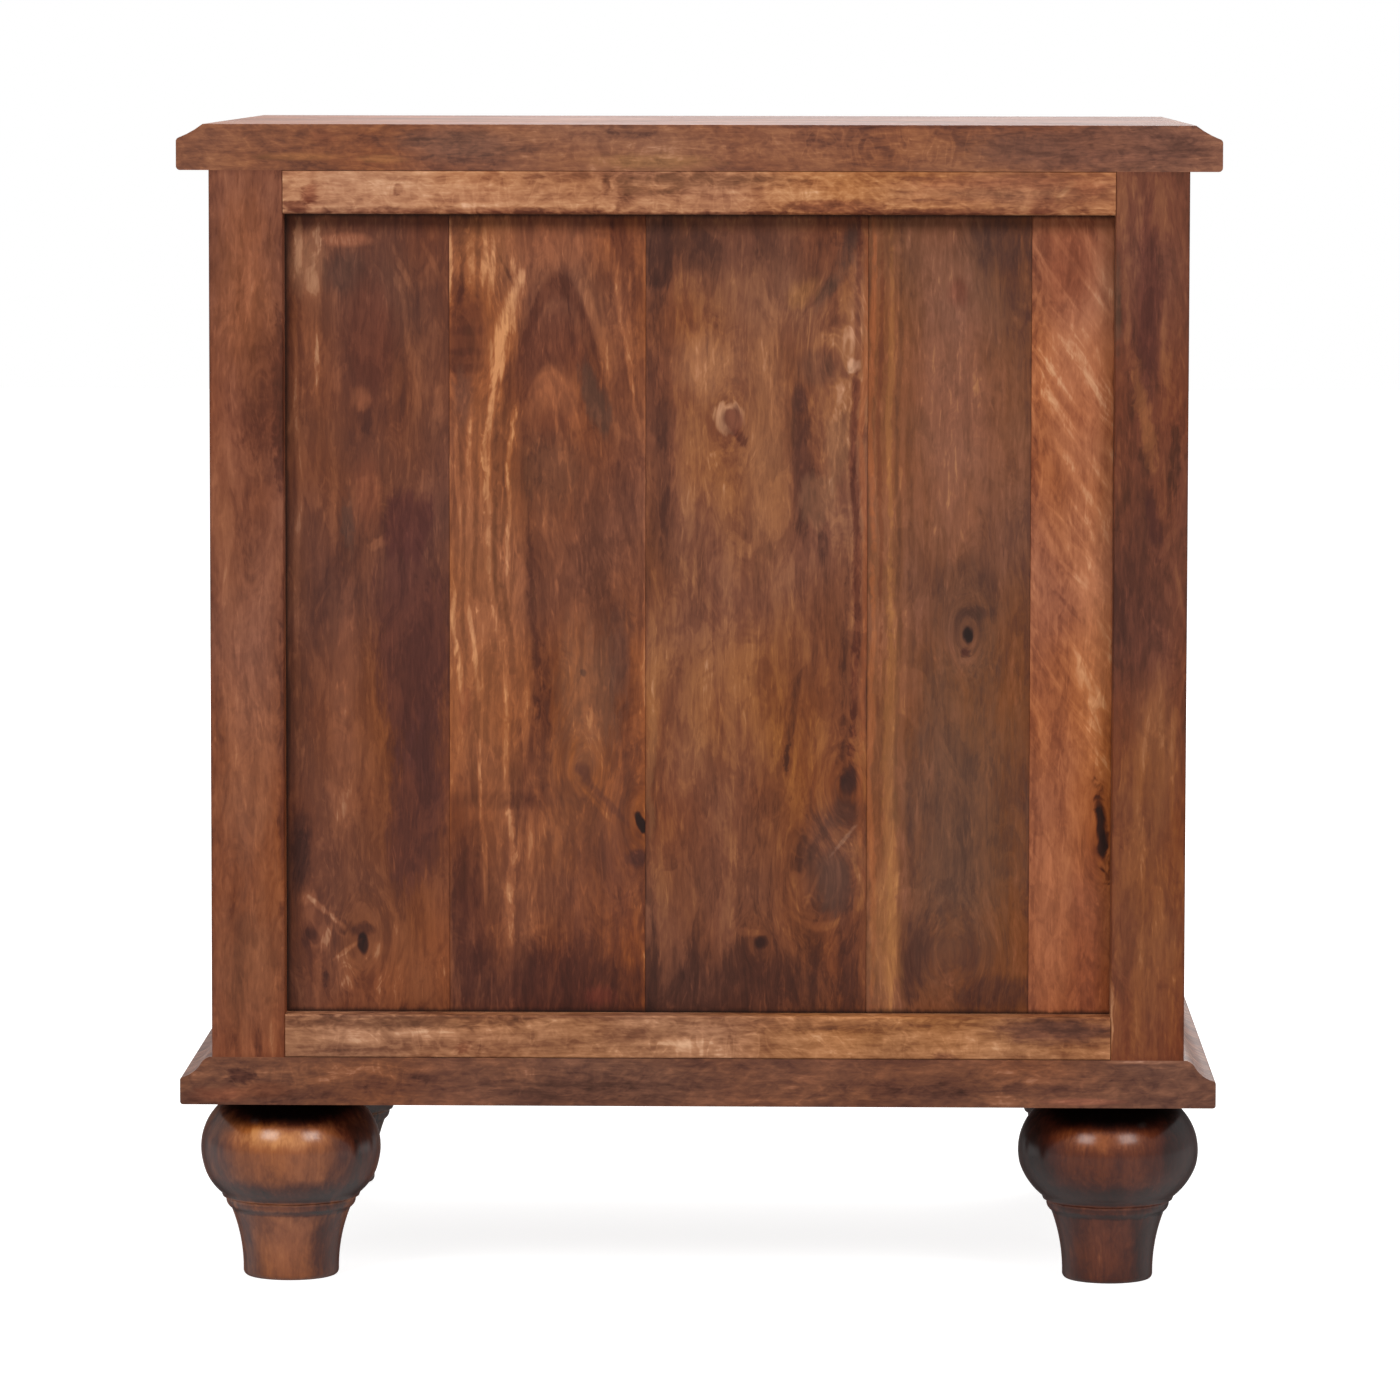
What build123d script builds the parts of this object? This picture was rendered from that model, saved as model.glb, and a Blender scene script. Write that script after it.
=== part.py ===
from build123d import *
import os

os.makedirs("parts", exist_ok=True)

# Bedside cabinet in solid hardwood, in millimetres.
# X runs to the right as seen from the front, Y runs to the back, Z is up, and the
# floor is at zero. The origin is under the middle of the whole cabinet, knobs included.

# Overall sizes
top_width = 500.0
top_depth = 400.0
top_thickness = 22.0
carcass_height = 427.3
plinth_thickness = 23.2
foot_height = 90.5
side_overhang = 15.5
front_overhang = 15.5

# Frame of posts and rails
post_side = 35.5
rail_height = 20.8
rail_setback = 8.0
tenon_length = 13.0
tenon_thickness = 10.0
tenon_shoulder = 2.0
joint_clearance = 0.15
arris_radius = 1.1

# Panels held in grooves
panel_recess = 13.0
panel_thickness = 7.0
groove_depth = 8.0
panel_play = 0.8
plank_arris = 0.4
plank_width_shares = (0.209, 0.229, 0.259, 0.190, 0.113)

# Moulded edge of the top
top_under_radius = 2.0
top_nose_drop = 8.3
top_nose_inset = 1.0
top_nose_height = 1.7
top_bevel_inset = 12.8
top_bevel_sag = 0.5

# Moulded edge of the plinth
plinth_under_radius = 1.5
plinth_nose_drop = 11.4
plinth_nose_inset = 1.2
plinth_nose_height = 1.5
plinth_cove_inset = 10.1
plinth_cove_drop = 3.3
plinth_cove_sag = 1.1
plinth_mould_inset = 14.4
plinth_mould_sag = 0.6

# Turned feet
foot_inset = 50.0
foot_top_radius = 24.0
bulb_radius = 44.0
bulb_middle_depth = 27.0
bulb_base_radius = 33.3
bulb_depth = 49.5
quirk_radius = 32.6
quirk_depth = 51.3
ring_radius = 30.9
ring_depth = 52.1
ring_sag = 0.6
ring_base_radius = 29.3
ring_base_depth = 56.5
cove_top_radius = 28.4
cove_top_depth = 57.3
ankle_radius = 22.8
ankle_height = 2.6
cove_sag = 1.5
sole_radius = 20.6
spigot_radius = 12.5
spigot_length = 18.0

# Runners under the drawers and kickers over the top one
runner_ledge = 20.0

# Drawers
drawer_names = ("bottom", "middle", "top")
drawer_play = 1.2
slide_clearance = 0.3
drawer_rear_gap = 12.0
front_gap = 1.5
front_thickness = 20.0
front_lap = 6.0
front_arris = 1.6
side_thickness = 12.0
side_top_play = 2.5
side_arris = 0.8
tail_count = 3
tail_width_share = 0.60
tail_flare = 2.0
bottom_thickness = 6.0
bottom_groove_depth = 5.0
bottom_height = 8.0
bottom_play = 0.5
drawer_back_thickness = 12.0
drawer_back_setback = 8.0
drawer_back_drop = 6.0
housing_depth = 4.0

# Stops behind the drawer fronts
stop_width = 30.0
stop_depth = 7.0
stop_height = 5.0
stop_offset = 60.0

# Turned knobs
knob_radius = 16.0
knob_reach = 29.0
knob_base_radius = 10.0
knob_base_height = 3.0
knob_neck_radius = 7.5
knob_neck_height = 11.0
knob_rim_height = 20.0
knob_crown_radius = 8.0

# Screws
screw_radius = 1.9
screw_head_radius = 3.6
screw_tip_length = 4.0
top_screw_bite = 13.0
plinth_screw_bite = 11.0
runner_screw_bite = 11.0
rail_screw_offset = 110.0
post_screw_inset = 12.0
knob_screw_radius = 2.0
knob_screw_bite = 15.0
knob_screw_head_radius = 4.5
knob_screw_head_height = 2.6

# One overrun lets every cut pass right through a face.
cut_overrun = 2.0

# Places that follow from the sizes
knob_overhang = max(knob_reach - front_overhang, 0)
back_y = (top_depth + knob_overhang) / 2
top_front_y = back_y - top_depth
carcass_front_y = top_front_y + front_overhang
outer_x = top_width / 2 - side_overhang
inner_x = outer_x - post_side
rail_depth = post_side - rail_setback
front_post_y = (carcass_front_y, carcass_front_y + post_side)
rear_post_y = (back_y - post_side, back_y)
front_rail_y = (carcass_front_y, carcass_front_y + rail_depth)
back_rail_y = (back_y - rail_depth, back_y)
side_rail_x = (outer_x - rail_depth, outer_x)
carcass_z = foot_height + plinth_thickness
top_z = carcass_z + carcass_height
drawer_count = len(drawer_names)
opening_height = (carcass_height - (drawer_count + 1) * rail_height) / drawer_count
back_panel_y = (back_y - panel_recess - panel_thickness, back_y - panel_recess)
side_panel_x = (outer_x - panel_recess - panel_thickness, outer_x - panel_recess)
tenon_height = rail_height - groove_depth - 2 * tenon_shoulder
drawer_x = inner_x - drawer_play
drawer_end_y = back_rail_y[0] - drawer_rear_gap


def rail_z(level):
    """Heights of the underside and top of the rails at one level, counted from below."""
    low = carcass_z + level * (rail_height + opening_height)
    return (low, low + rail_height)


def block(x, y, z):
    """A square-edged piece between two values along each axis."""
    spans = (x, y, z)
    middle = [(low + high) / 2 for low, high in spans]
    size = [high - low for low, high in spans]
    return Pos(*middle) * Box(*size)


def grown(span, amount):
    """The same span, longer by one amount at each end."""
    return (span[0] - amount, span[1] + amount)


def eased(piece, axis, radius):
    """The piece with its long edges along one axis rounded."""
    return fillet(piece.edges().filter_by(axis), radius)


def mirrored(piece):
    """The same piece for the other side of the cabinet."""
    return mirror(piece, about=Plane.YZ)


# Tenons: each is three spans, used to make the tenon and, grown, its mortise.
def tenon_z(level):
    """A tenon keeps clear of the panel groove, so the top rail has it high."""
    low, high = rail_z(level)
    if level == drawer_count:
        return (high - tenon_shoulder - tenon_height, high - tenon_shoulder)
    return (low + tenon_shoulder, low + tenon_shoulder + tenon_height)


def cross_tenon(rail_y, level):
    """Tenon at the right-hand end of a front or back rail."""
    middle = (rail_y[0] + rail_y[1]) / 2
    y = (middle - tenon_thickness / 2, middle + tenon_thickness / 2)
    return ((inner_x, inner_x + tenon_length), y, tenon_z(level))


def side_tenons(level):
    """Tenons at the front and back ends of a right-hand side rail."""
    middle = (side_rail_x[0] + side_rail_x[1]) / 2
    x = (middle - tenon_thickness / 2, middle + tenon_thickness / 2)
    front = (x, (front_post_y[1] - tenon_length, front_post_y[1]), tenon_z(level))
    back = (x, (rear_post_y[0], rear_post_y[0] + tenon_length), tenon_z(level))
    return front, back


def mortise(spans):
    """The hollow that takes a tenon with the joint's clearance."""
    return block(*[grown(span, joint_clearance) for span in spans])


# Screws: straight shank, countersunk head at the start, pointed end.
def screw(length):
    """Countersunk wood screw standing on its head's face, pointing up."""
    neck = screw_head_radius - screw_radius
    outline = Polyline(
        (0, 0),
        (screw_head_radius, 0),
        (screw_radius, neck),
        (screw_radius, length - screw_tip_length),
        (0, length),
        close=True,
    )
    return revolve(Plane.XZ * make_face(outline), axis=Axis.Z)


def rail_screw_places():
    """Middle of the solid outer part of each rail: two front, two back, one a side."""
    inset = panel_recess / 2
    places = []
    for x in (-rail_screw_offset, rail_screw_offset):
        places.append((x, carcass_front_y + inset))
        places.append((x, back_y - inset))
    middle_y = (carcass_front_y + back_y) / 2
    for x in (inset - outer_x, outer_x - inset):
        places.append((x, middle_y))
    return places


def post_screw_places():
    """One place under each post, in from its two outer faces."""
    x = outer_x - post_screw_inset
    rows = (carcass_front_y + post_screw_inset, back_y - post_screw_inset)
    return [(side * x, y) for side in (-1, 1) for y in rows]


def make_top_screws():
    length = rail_height + top_screw_bite
    low = rail_z(drawer_count)[0]
    return [Pos(x, y, low) * screw(length) for x, y in rail_screw_places()]


def make_plinth_screws():
    length = plinth_thickness + plinth_screw_bite
    places = rail_screw_places() + post_screw_places()
    return [Pos(x, y, foot_height) * screw(length) for x, y in places]


def make_runner_screws():
    """Each runner is screwed from inside into the front post and the rear post."""
    length = runner_ledge + runner_screw_bite
    reach = (rail_depth + post_side) / 2
    screws = []
    for level in range(drawer_count + 1):
        low, high = rail_z(level)
        for y in (carcass_front_y + reach, back_y - reach):
            right = Pos(inner_x - runner_ledge, y, (low + high) / 2) * Rot(0, 90, 0) * screw(length)
            screws += [right, mirrored(right)]
    return screws


top_screws = make_top_screws()
plinth_screws = make_plinth_screws()
runner_screws = make_runner_screws()


def bored(piece, screws):
    """The piece with the holes of the screws that pass through it."""
    for one in screws:
        piece = piece - one
    return piece


# Boards with a moulded edge at the front and both sides, and a plain back.
def top_edge(nose, way):
    """Section of the top's edge, from the underside to the upper face."""
    def at(inset, height):
        return (nose - way * inset, height)

    nose_height = top_thickness - top_nose_drop
    start = at(top_under_radius, 0)
    side = at(0, top_under_radius)
    nose_low = at(0, nose_height)
    nose_high = at(top_nose_inset, nose_height + top_nose_height)
    end = at(top_bevel_inset, top_thickness)
    edges = [
        TangentArc(start, side, tangent=(way, 0)),
        Line(side, nose_low),
        TangentArc(nose_low, nose_high, tangent=(0, 1)),
        SagittaArc(nose_high, end, way * top_bevel_sag),
    ]
    return edges, start, end


def plinth_edge(nose, way):
    """Section of the plinth's edge: a nose, a cove and a small round under the posts."""
    def at(inset, height):
        return (nose - way * inset, height)

    nose_height = plinth_thickness - plinth_nose_drop
    start = at(plinth_under_radius, 0)
    side = at(0, plinth_under_radius)
    nose_low = at(0, nose_height)
    nose_high = at(plinth_nose_inset, nose_height + plinth_nose_height)
    cove_top = at(plinth_cove_inset, plinth_thickness - plinth_cove_drop)
    end = at(plinth_mould_inset, plinth_thickness)
    edges = [
        TangentArc(start, side, tangent=(way, 0)),
        Line(side, nose_low),
        TangentArc(nose_low, nose_high, tangent=(0, 1)),
        SagittaArc(nose_high, cove_top, way * plinth_cove_sag),
        SagittaArc(cove_top, end, -way * plinth_mould_sag),
    ]
    return edges, start, end


def moulded_board(edge, thickness):
    """Board whose two sections, across and front to back, meet in mitred corners."""
    right, right_low, right_high = edge(top_width / 2, 1)
    left, left_low, left_high = edge(-top_width / 2, -1)
    across = make_face([*right, Line(right_high, left_high), *left, Line(left_low, right_low)])
    front, front_low, front_high = edge(top_front_y, -1)
    back_low = (back_y, 0)
    back_high = (back_y, thickness)
    ends = [Line(front_high, back_high), Line(back_high, back_low), Line(back_low, front_low)]
    lengthways = make_face([*front, *ends])
    bar = extrude(Plane.XZ * across, top_depth + cut_overrun, both=True)
    slab = extrude(Plane.YZ * lengthways, top_width / 2 + cut_overrun, both=True)
    return bar & slab


def make_top_board():
    return bored(Pos(0, 0, top_z) * moulded_board(top_edge, top_thickness), top_screws)


def foot_places():
    """Front and rear foot centres, right-hand side first."""
    x = top_width / 2 - foot_inset
    places = {}
    for row, y in (("front", top_front_y + foot_inset), ("rear", back_y - foot_inset)):
        places[f"{row}_right"] = (x, y)
        places[f"{row}_left"] = (-x, y)
    return places


def make_plinth_board():
    board = Pos(0, 0, foot_height) * moulded_board(plinth_edge, plinth_thickness)
    radius = spigot_radius + joint_clearance
    depth = spigot_length + joint_clearance
    for x, y in foot_places().values():
        board -= Pos(x, y, foot_height + depth / 2) * Cylinder(radius, depth)
    return bored(board, plinth_screws)


def make_foot(x, y):
    """Turned foot: spigot, bulb, quirk and ring, then a hollow taper to the sole."""
    def at(radius, depth):
        return (radius, foot_height - depth)

    shoulder = at(foot_top_radius, 0)
    bulb_middle = at(bulb_radius, bulb_middle_depth)
    bulb_base = at(bulb_base_radius, bulb_depth)
    quirk = at(quirk_radius, quirk_depth)
    ring = at(ring_radius, ring_depth)
    ring_base = at(ring_base_radius, ring_base_depth)
    cove_top = at(cove_top_radius, cove_top_depth)
    ankle = (ankle_radius, ankle_height)
    sole = (sole_radius, 0)
    outline = [
        Line((0, 0), (0, foot_height + spigot_length)),
        Line((0, foot_height + spigot_length), (spigot_radius, foot_height + spigot_length)),
        Line((spigot_radius, foot_height + spigot_length), (spigot_radius, foot_height)),
        Line((spigot_radius, foot_height), shoulder),
        ThreePointArc(shoulder, bulb_middle, bulb_base),
        Line(bulb_base, quirk),
        Line(quirk, ring),
        SagittaArc(ring, ring_base, ring_sag),
        Line(ring_base, cove_top),
        SagittaArc(cove_top, ankle, -cove_sag),
        TangentArc(ankle, sole, tangent=(0, -1)),
        Line(sole, (0, 0)),
    ]
    return Pos(x, y, 0) * revolve(Plane.XZ * make_face(outline), axis=Axis.Z)


# Posts, built for the right-hand side and mirrored for the left.
groove_z = (rail_z(0)[1] - groove_depth, rail_z(drawer_count)[0] + groove_depth)


def post_blank(y):
    return eased(block((inner_x, outer_x), y, (carcass_z, top_z)), Axis.Z, arris_radius)


def make_front_post():
    post = post_blank(front_post_y)
    for level in range(drawer_count + 1):
        post -= mortise(cross_tenon(front_rail_y, level))
    for level in (0, drawer_count):
        post -= mortise(side_tenons(level)[0])
    groove_y = (front_post_y[1] - groove_depth, front_post_y[1] + cut_overrun)
    post -= block(side_panel_x, groove_y, groove_z)
    return bored(post, plinth_screws + runner_screws)


def make_rear_post():
    post = post_blank(rear_post_y)
    for level in (0, drawer_count):
        post -= mortise(cross_tenon(back_rail_y, level))
        post -= mortise(side_tenons(level)[1])
    groove_y = (rear_post_y[0] - cut_overrun, rear_post_y[0] + groove_depth)
    post -= block(side_panel_x, groove_y, groove_z)
    post -= block((inner_x - cut_overrun, inner_x + groove_depth), back_panel_y, groove_z)
    return bored(post, plinth_screws + runner_screws)


# Rails
def cross_rail(rail_y, level):
    """Front or back rail between the posts, with a tenon at each end."""
    rail = eased(block((-inner_x, inner_x), rail_y, rail_z(level)), Axis.X, arris_radius)
    tenon = block(*cross_tenon(rail_y, level))
    return rail + tenon + mirrored(tenon)


def grooved_z(level):
    """Height of a rail's panel groove: in its top at the bottom, in its underside above."""
    low, high = rail_z(level)
    if level == drawer_count:
        return (low - cut_overrun, low + groove_depth)
    return (high - groove_depth, high + cut_overrun)


def make_front_rail(level):
    rail = cross_rail(front_rail_y, level)
    return bored(rail, top_screws + plinth_screws)


def make_back_rail(level):
    rail = cross_rail(back_rail_y, level)
    rail -= block(grown((-inner_x, inner_x), cut_overrun), back_panel_y, grooved_z(level))
    return bored(rail, top_screws + plinth_screws)


def make_side_rail(level):
    """Right-hand side rail between the posts."""
    y = (front_post_y[1], rear_post_y[0])
    rail = eased(block(side_rail_x, y, rail_z(level)), Axis.Y, arris_radius)
    for spans in side_tenons(level):
        rail += block(*spans)
    rail -= block(side_panel_x, grown(y, cut_overrun), grooved_z(level))
    return bored(rail, top_screws + plinth_screws)


# Panels
panel_z = grown(groove_z, -panel_play)


def make_back_planks():
    """Upright planks edge to edge, listed from the cabinet's right-hand side."""
    half = inner_x + groove_depth - panel_play
    planks = []
    right = half
    for share in plank_width_shares:
        left = right - 2 * half * share / sum(plank_width_shares)
        planks.append(eased(block((left, right), back_panel_y, panel_z), Axis.Z, plank_arris))
        right = left
    return planks


def make_side_panel():
    y = grown((front_post_y[1], rear_post_y[0]), groove_depth - panel_play)
    return block(side_panel_x, y, panel_z)


# Runners: one bar beside each post pair, wider between the posts.
def make_runner(level):
    z = rail_z(level)
    ledge = block((inner_x - runner_ledge, inner_x), (front_rail_y[1], back_rail_y[0]), z)
    filler = block((inner_x, side_rail_x[0]), (front_post_y[1], rear_post_y[0]), z)
    return bored(ledge + filler, runner_screws)


def make_stops():
    """Two blocks on each rail under a drawer, just behind the closed drawer front."""
    back_of_front = carcass_front_y + front_thickness + slide_clearance
    y = (back_of_front, back_of_front + stop_depth)
    middle = inner_x - stop_offset
    x = (middle - stop_width / 2, middle + stop_width / 2)
    stops = []
    for level in range(drawer_count):
        top = rail_z(level)[1]
        right = block(x, y, (top, top + stop_height))
        stops += [right, mirrored(right)]
    return stops


# Drawers: each piece is made for one level, and slides towards the front.
def drawer_front_z(level):
    return (rail_z(level)[1] + front_gap, rail_z(level + 1)[0] - front_gap)


def drawer_side_z(level):
    return (rail_z(level)[1] + slide_clearance, rail_z(level + 1)[0] - side_top_play)


def drawer_bottom_z(level):
    low = drawer_side_z(level)[0] + bottom_height
    return (low, low + bottom_thickness)


def bottom_groove_z(level):
    low, high = drawer_bottom_z(level)
    return (low, high + joint_clearance)


def make_tails(level):
    """Dovetails on the front end of the right-hand drawer side, wider at their ends."""
    low, high = drawer_front_z(level)
    pitch = (high - low) / tail_count
    half = pitch * tail_width_share / 2
    root = carcass_front_y + front_thickness
    tip = carcass_front_y + front_lap
    tails = []
    for index in range(tail_count):
        middle = low + pitch * (index + 0.5)
        outline = Polyline(
            (root, middle - half),
            (tip, middle - half - tail_flare),
            (tip, middle + half + tail_flare),
            (root, middle + half),
            close=True,
        )
        face = Plane.YZ.offset(drawer_x - side_thickness) * make_face(outline)
        tails.append(extrude(face, side_thickness))
    return tails


def make_drawer_front(level):
    y = (carcass_front_y, carcass_front_y + front_thickness)
    piece = block((-drawer_x, drawer_x), y, drawer_front_z(level))
    face = piece.faces().sort_by(Axis.Y)[0]
    piece = fillet(face.edges(), front_arris)
    for tail in make_tails(level):
        piece = piece - tail - mirrored(tail)
    groove_x = drawer_x - side_thickness + bottom_groove_depth
    groove_y = (y[1] - bottom_groove_depth, y[1] + cut_overrun)
    piece -= block((-groove_x, groove_x), groove_y, bottom_groove_z(level))
    return piece - knob_screw_shank(level)


def drawer_back_y():
    high = drawer_end_y - drawer_back_setback
    return (high - drawer_back_thickness, high)


def make_drawer_side(level):
    """Right-hand drawer side, grooved for the bottom and housed for the back."""
    inside = drawer_x - side_thickness
    y = (carcass_front_y + front_thickness, drawer_end_y)
    piece = eased(block((inside, drawer_x), y, drawer_side_z(level)), Axis.Y, side_arris)
    for tail in make_tails(level):
        piece += tail
    groove_x = (inside - cut_overrun, inside + bottom_groove_depth)
    groove_y = (y[0] - bottom_groove_depth, y[1] + cut_overrun)
    piece -= block(groove_x, groove_y, bottom_groove_z(level))
    housing_z = (drawer_bottom_z(level)[1], drawer_side_z(level)[1] + cut_overrun)
    piece -= block((inside - cut_overrun, inside + housing_depth), drawer_back_y(), housing_z)
    return piece


def make_drawer_back(level):
    x = drawer_x - side_thickness + housing_depth
    z = (drawer_bottom_z(level)[1], drawer_side_z(level)[1] - drawer_back_drop)
    return block((-x, x), drawer_back_y(), z)


def make_drawer_bottom(level):
    x = drawer_x - side_thickness + bottom_groove_depth - bottom_play
    front = carcass_front_y + front_thickness - bottom_groove_depth + bottom_play
    return block((-x, x), (front, drawer_end_y), drawer_bottom_z(level))


def knob_place(level):
    """The middle of a drawer front's face."""
    low, high = drawer_front_z(level)
    return Pos(0, carcass_front_y, (low + high) / 2)


def facing_front():
    """Turns a piece that stands up so that it points out of the front."""
    return Rot(90, 0, 0)


def knob_screw_shank(level):
    """Shank from the inner face of the front, through it and into the knob."""
    length = front_thickness + knob_screw_bite
    shank = Pos(0, 0, length / 2 - front_thickness) * Cylinder(knob_screw_radius, length)
    return knob_place(level) * facing_front() * shank


def make_knob_screw(level):
    head_middle = -front_thickness - knob_screw_head_height / 2
    head = Cylinder(knob_screw_head_radius, knob_screw_head_height)
    head = Pos(0, 0, head_middle) * fillet(head.edges().sort_by(Axis.Z)[0], knob_screw_head_height / 3)
    return knob_place(level) * facing_front() * head + knob_screw_shank(level)


def make_knob(level):
    """Turned knob: foot, waisted neck, swelling head and a low crown."""
    base = (knob_base_radius, 0)
    base_top = (knob_base_radius, knob_base_height)
    neck = (knob_neck_radius, knob_neck_height)
    rim = (knob_radius, knob_rim_height)
    crown = (knob_crown_radius, knob_reach)
    neck_bend = (knob_neck_radius, knob_base_height)
    rim_low = (knob_radius, knob_neck_height)
    rim_high = (knob_radius, knob_reach)
    outline = [
        Line((0, 0), base),
        Line(base, base_top),
        Bezier(base_top, neck_bend, neck),
        Bezier(neck, rim_low, rim),
        Bezier(rim, rim_high, crown),
        Line(crown, (0, knob_reach)),
        Line((0, knob_reach), (0, 0)),
    ]
    knob = revolve(Plane.XZ * make_face(outline), axis=Axis.Z)
    return knob_place(level) * facing_front() * knob - knob_screw_shank(level)


def save(name, shape):
    """Writes one named piece, or one group of like pieces."""
    if isinstance(shape, list):
        shape = Compound(children=shape)
    export_step(shape, f"parts/{name}.step")


def save_pair(name, right):
    """Writes the right-hand piece and its mirror image; the name holds the side."""
    save(name.format("right"), right)
    save(name.format("left"), mirrored(right))


save("top_board", make_top_board())
save("plinth_board", make_plinth_board())
for corner, place in foot_places().items():
    save(f"{corner}_foot", make_foot(*place))

save_pair("front_{}_post", make_front_post())
save_pair("rear_{}_post", make_rear_post())

rail_names = ("front_bottom_rail", "lower_drawer_divider", "upper_drawer_divider", "front_top_rail")
for level, name in enumerate(rail_names):
    save(name, make_front_rail(level))
for level, name in ((0, "bottom"), (drawer_count, "top")):
    save(f"back_{name}_rail", make_back_rail(level))
    save_pair("{}_side_" + f"{name}_rail", make_side_rail(level))

for number, plank in enumerate(make_back_planks(), start=1):
    save(f"back_plank_{number}", plank)
save_pair("{}_side_panel", make_side_panel())

for level, name in enumerate(drawer_names):
    save_pair(f"{name}_drawer_" + "{}_runner", make_runner(level))
save_pair("{}_kicker", make_runner(drawer_count))
save("drawer_stops", make_stops())

for level, name in enumerate(drawer_names):
    save(f"{name}_drawer_front", make_drawer_front(level))
    save_pair(f"{name}_drawer_" + "{}_side", make_drawer_side(level))
    save(f"{name}_drawer_back", make_drawer_back(level))
    save(f"{name}_drawer_bottom", make_drawer_bottom(level))
    save(f"{name}_drawer_knob", make_knob(level))
    save(f"{name}_drawer_knob_screw", make_knob_screw(level))

save("top_fixing_screws", top_screws)
save("plinth_screws", plinth_screws)
save("runner_screws", runner_screws)
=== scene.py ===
import bpy
import numpy as np
from mathutils import Matrix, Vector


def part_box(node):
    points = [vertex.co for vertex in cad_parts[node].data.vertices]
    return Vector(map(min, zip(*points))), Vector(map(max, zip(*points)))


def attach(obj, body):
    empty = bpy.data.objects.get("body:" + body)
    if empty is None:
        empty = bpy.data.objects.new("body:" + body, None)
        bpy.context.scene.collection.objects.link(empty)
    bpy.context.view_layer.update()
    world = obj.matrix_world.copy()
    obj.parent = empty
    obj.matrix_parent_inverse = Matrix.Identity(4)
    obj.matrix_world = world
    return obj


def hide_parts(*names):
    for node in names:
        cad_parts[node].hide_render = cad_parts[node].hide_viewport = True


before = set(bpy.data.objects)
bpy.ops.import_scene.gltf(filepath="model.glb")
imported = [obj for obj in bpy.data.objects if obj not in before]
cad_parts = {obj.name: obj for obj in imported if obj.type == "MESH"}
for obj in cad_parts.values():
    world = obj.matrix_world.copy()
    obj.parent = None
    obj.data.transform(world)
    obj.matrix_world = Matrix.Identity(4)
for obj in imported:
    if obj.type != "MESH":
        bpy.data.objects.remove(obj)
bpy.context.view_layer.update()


# Posts. Four square sticks of stained hardwood run the full height of the carcass, with
# their long arrises eased by a plane. They are the first timber of the cabinet, so the
# figure and the stain that all its wooden pieces share are made here.
def colour(text):
    """A six-figure colour as it looks on screen, turned into light: each part c becomes
    c / 12.92 up to 0.04045, and ((c + 0.055) / 1.055) to the power 2.4 above it."""
    shown = np.array([int(text[i:i + 2], 16) for i in (0, 2, 4)]) / 255
    light = np.where(shown > 0.04045, ((shown + 0.055) / 1.055) ** 2.4, shown / 12.92)
    return (*light.tolist(), 1.0)


def node(tree, kind, inputs, **settings):
    """Adds a node and fills its inputs with plain values or other nodes' sockets."""
    made = tree.nodes.new(kind)
    for key, value in settings.items():
        setattr(made, key, value)
    for key, value in inputs.items():
        if isinstance(value, bpy.types.NodeSocket):
            tree.links.new(value, made.inputs[key])
        else:
            made.inputs[key].default_value = value
    return made


def sums(tree, what, *values):
    """One step of arithmetic on up to three numbers."""
    return node(tree, "ShaderNodeMath", dict(enumerate(values)), operation=what).outputs[0]


def weighted(tree, start, *pairs):
    """Start plus the sum of amount times value for each pair."""
    for amount, value in pairs:
        start = sums(tree, "MULTIPLY_ADD", amount, value, start)
    return start


def vectors(tree, what, *values):
    """One step of arithmetic on one or two vectors. A length or a dot product is a number."""
    made = node(tree, "ShaderNodeVectorMath", dict(enumerate(values)), operation=what)
    return made.outputs["Value" if what in ("LENGTH", "DOT_PRODUCT") else "Vector"]


def scaled(tree, vector, factor):
    """The vector times a number."""
    made = node(tree, "ShaderNodeVectorMath", {0: vector, "Scale": factor}, operation="SCALE")
    return made.outputs["Vector"]


def joined(tree, x, y, z=0.0):
    """The vector with these three parts."""
    return node(tree, "ShaderNodeCombineXYZ", {0: x, 1: y, 2: z}).outputs[0]


def parts(tree, vector):
    """The three parts of a vector."""
    return node(tree, "ShaderNodeSeparateXYZ", {0: vector}).outputs


def faded(tree, value, start, stop, low=0.0, high=1.0, way="SMOOTHSTEP"):
    """Low where the value is at start or before it, high where it is at stop or past it, and
    between them a soft S, or a straight line where the way is LINEAR."""
    return node(tree, "ShaderNodeMapRange", {
        "Value": value, "From Min": start, "From Max": stop, "To Min": low, "To Max": high},
        interpolation_type=way).outputs[0]


def shaded(tree, tone, shades):
    """The colour of a tone on a scale of shades, each of which is given after its own tone."""
    ramp = node(tree, "ShaderNodeValToRGB", {"Fac": tone})
    stops = ramp.color_ramp.elements
    while len(stops) < len(shades):
        stops.new(0.5)
    for stop, (at, shade) in zip(stops, shades):
        stop.position = at
        stop.color = colour(shade)
    return ramp.outputs[0]


def noise(tree, vector, detail, rough=0.5, curled=0.0, scale=1.0):
    """Noise round 0.5, first as a number and then as a colour."""
    return node(tree, "ShaderNodeTexNoise", {
        "Vector": vector, "Scale": scale, "Detail": detail, "Roughness": rough,
        "Distortion": curled}).outputs


def speckle(tree, vector, across, along, detail=2.0, rough=0.5, curled=0.0):
    """Noise from -0.5 to 0.5 in spots about 1 / across metres wide and 1 / along metres long."""
    spread = vectors(tree, "MULTIPLY", vector, (across, across, along))
    return sums(tree, "SUBTRACT", noise(tree, spread, detail, rough, curled)[0], 0.5)


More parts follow.
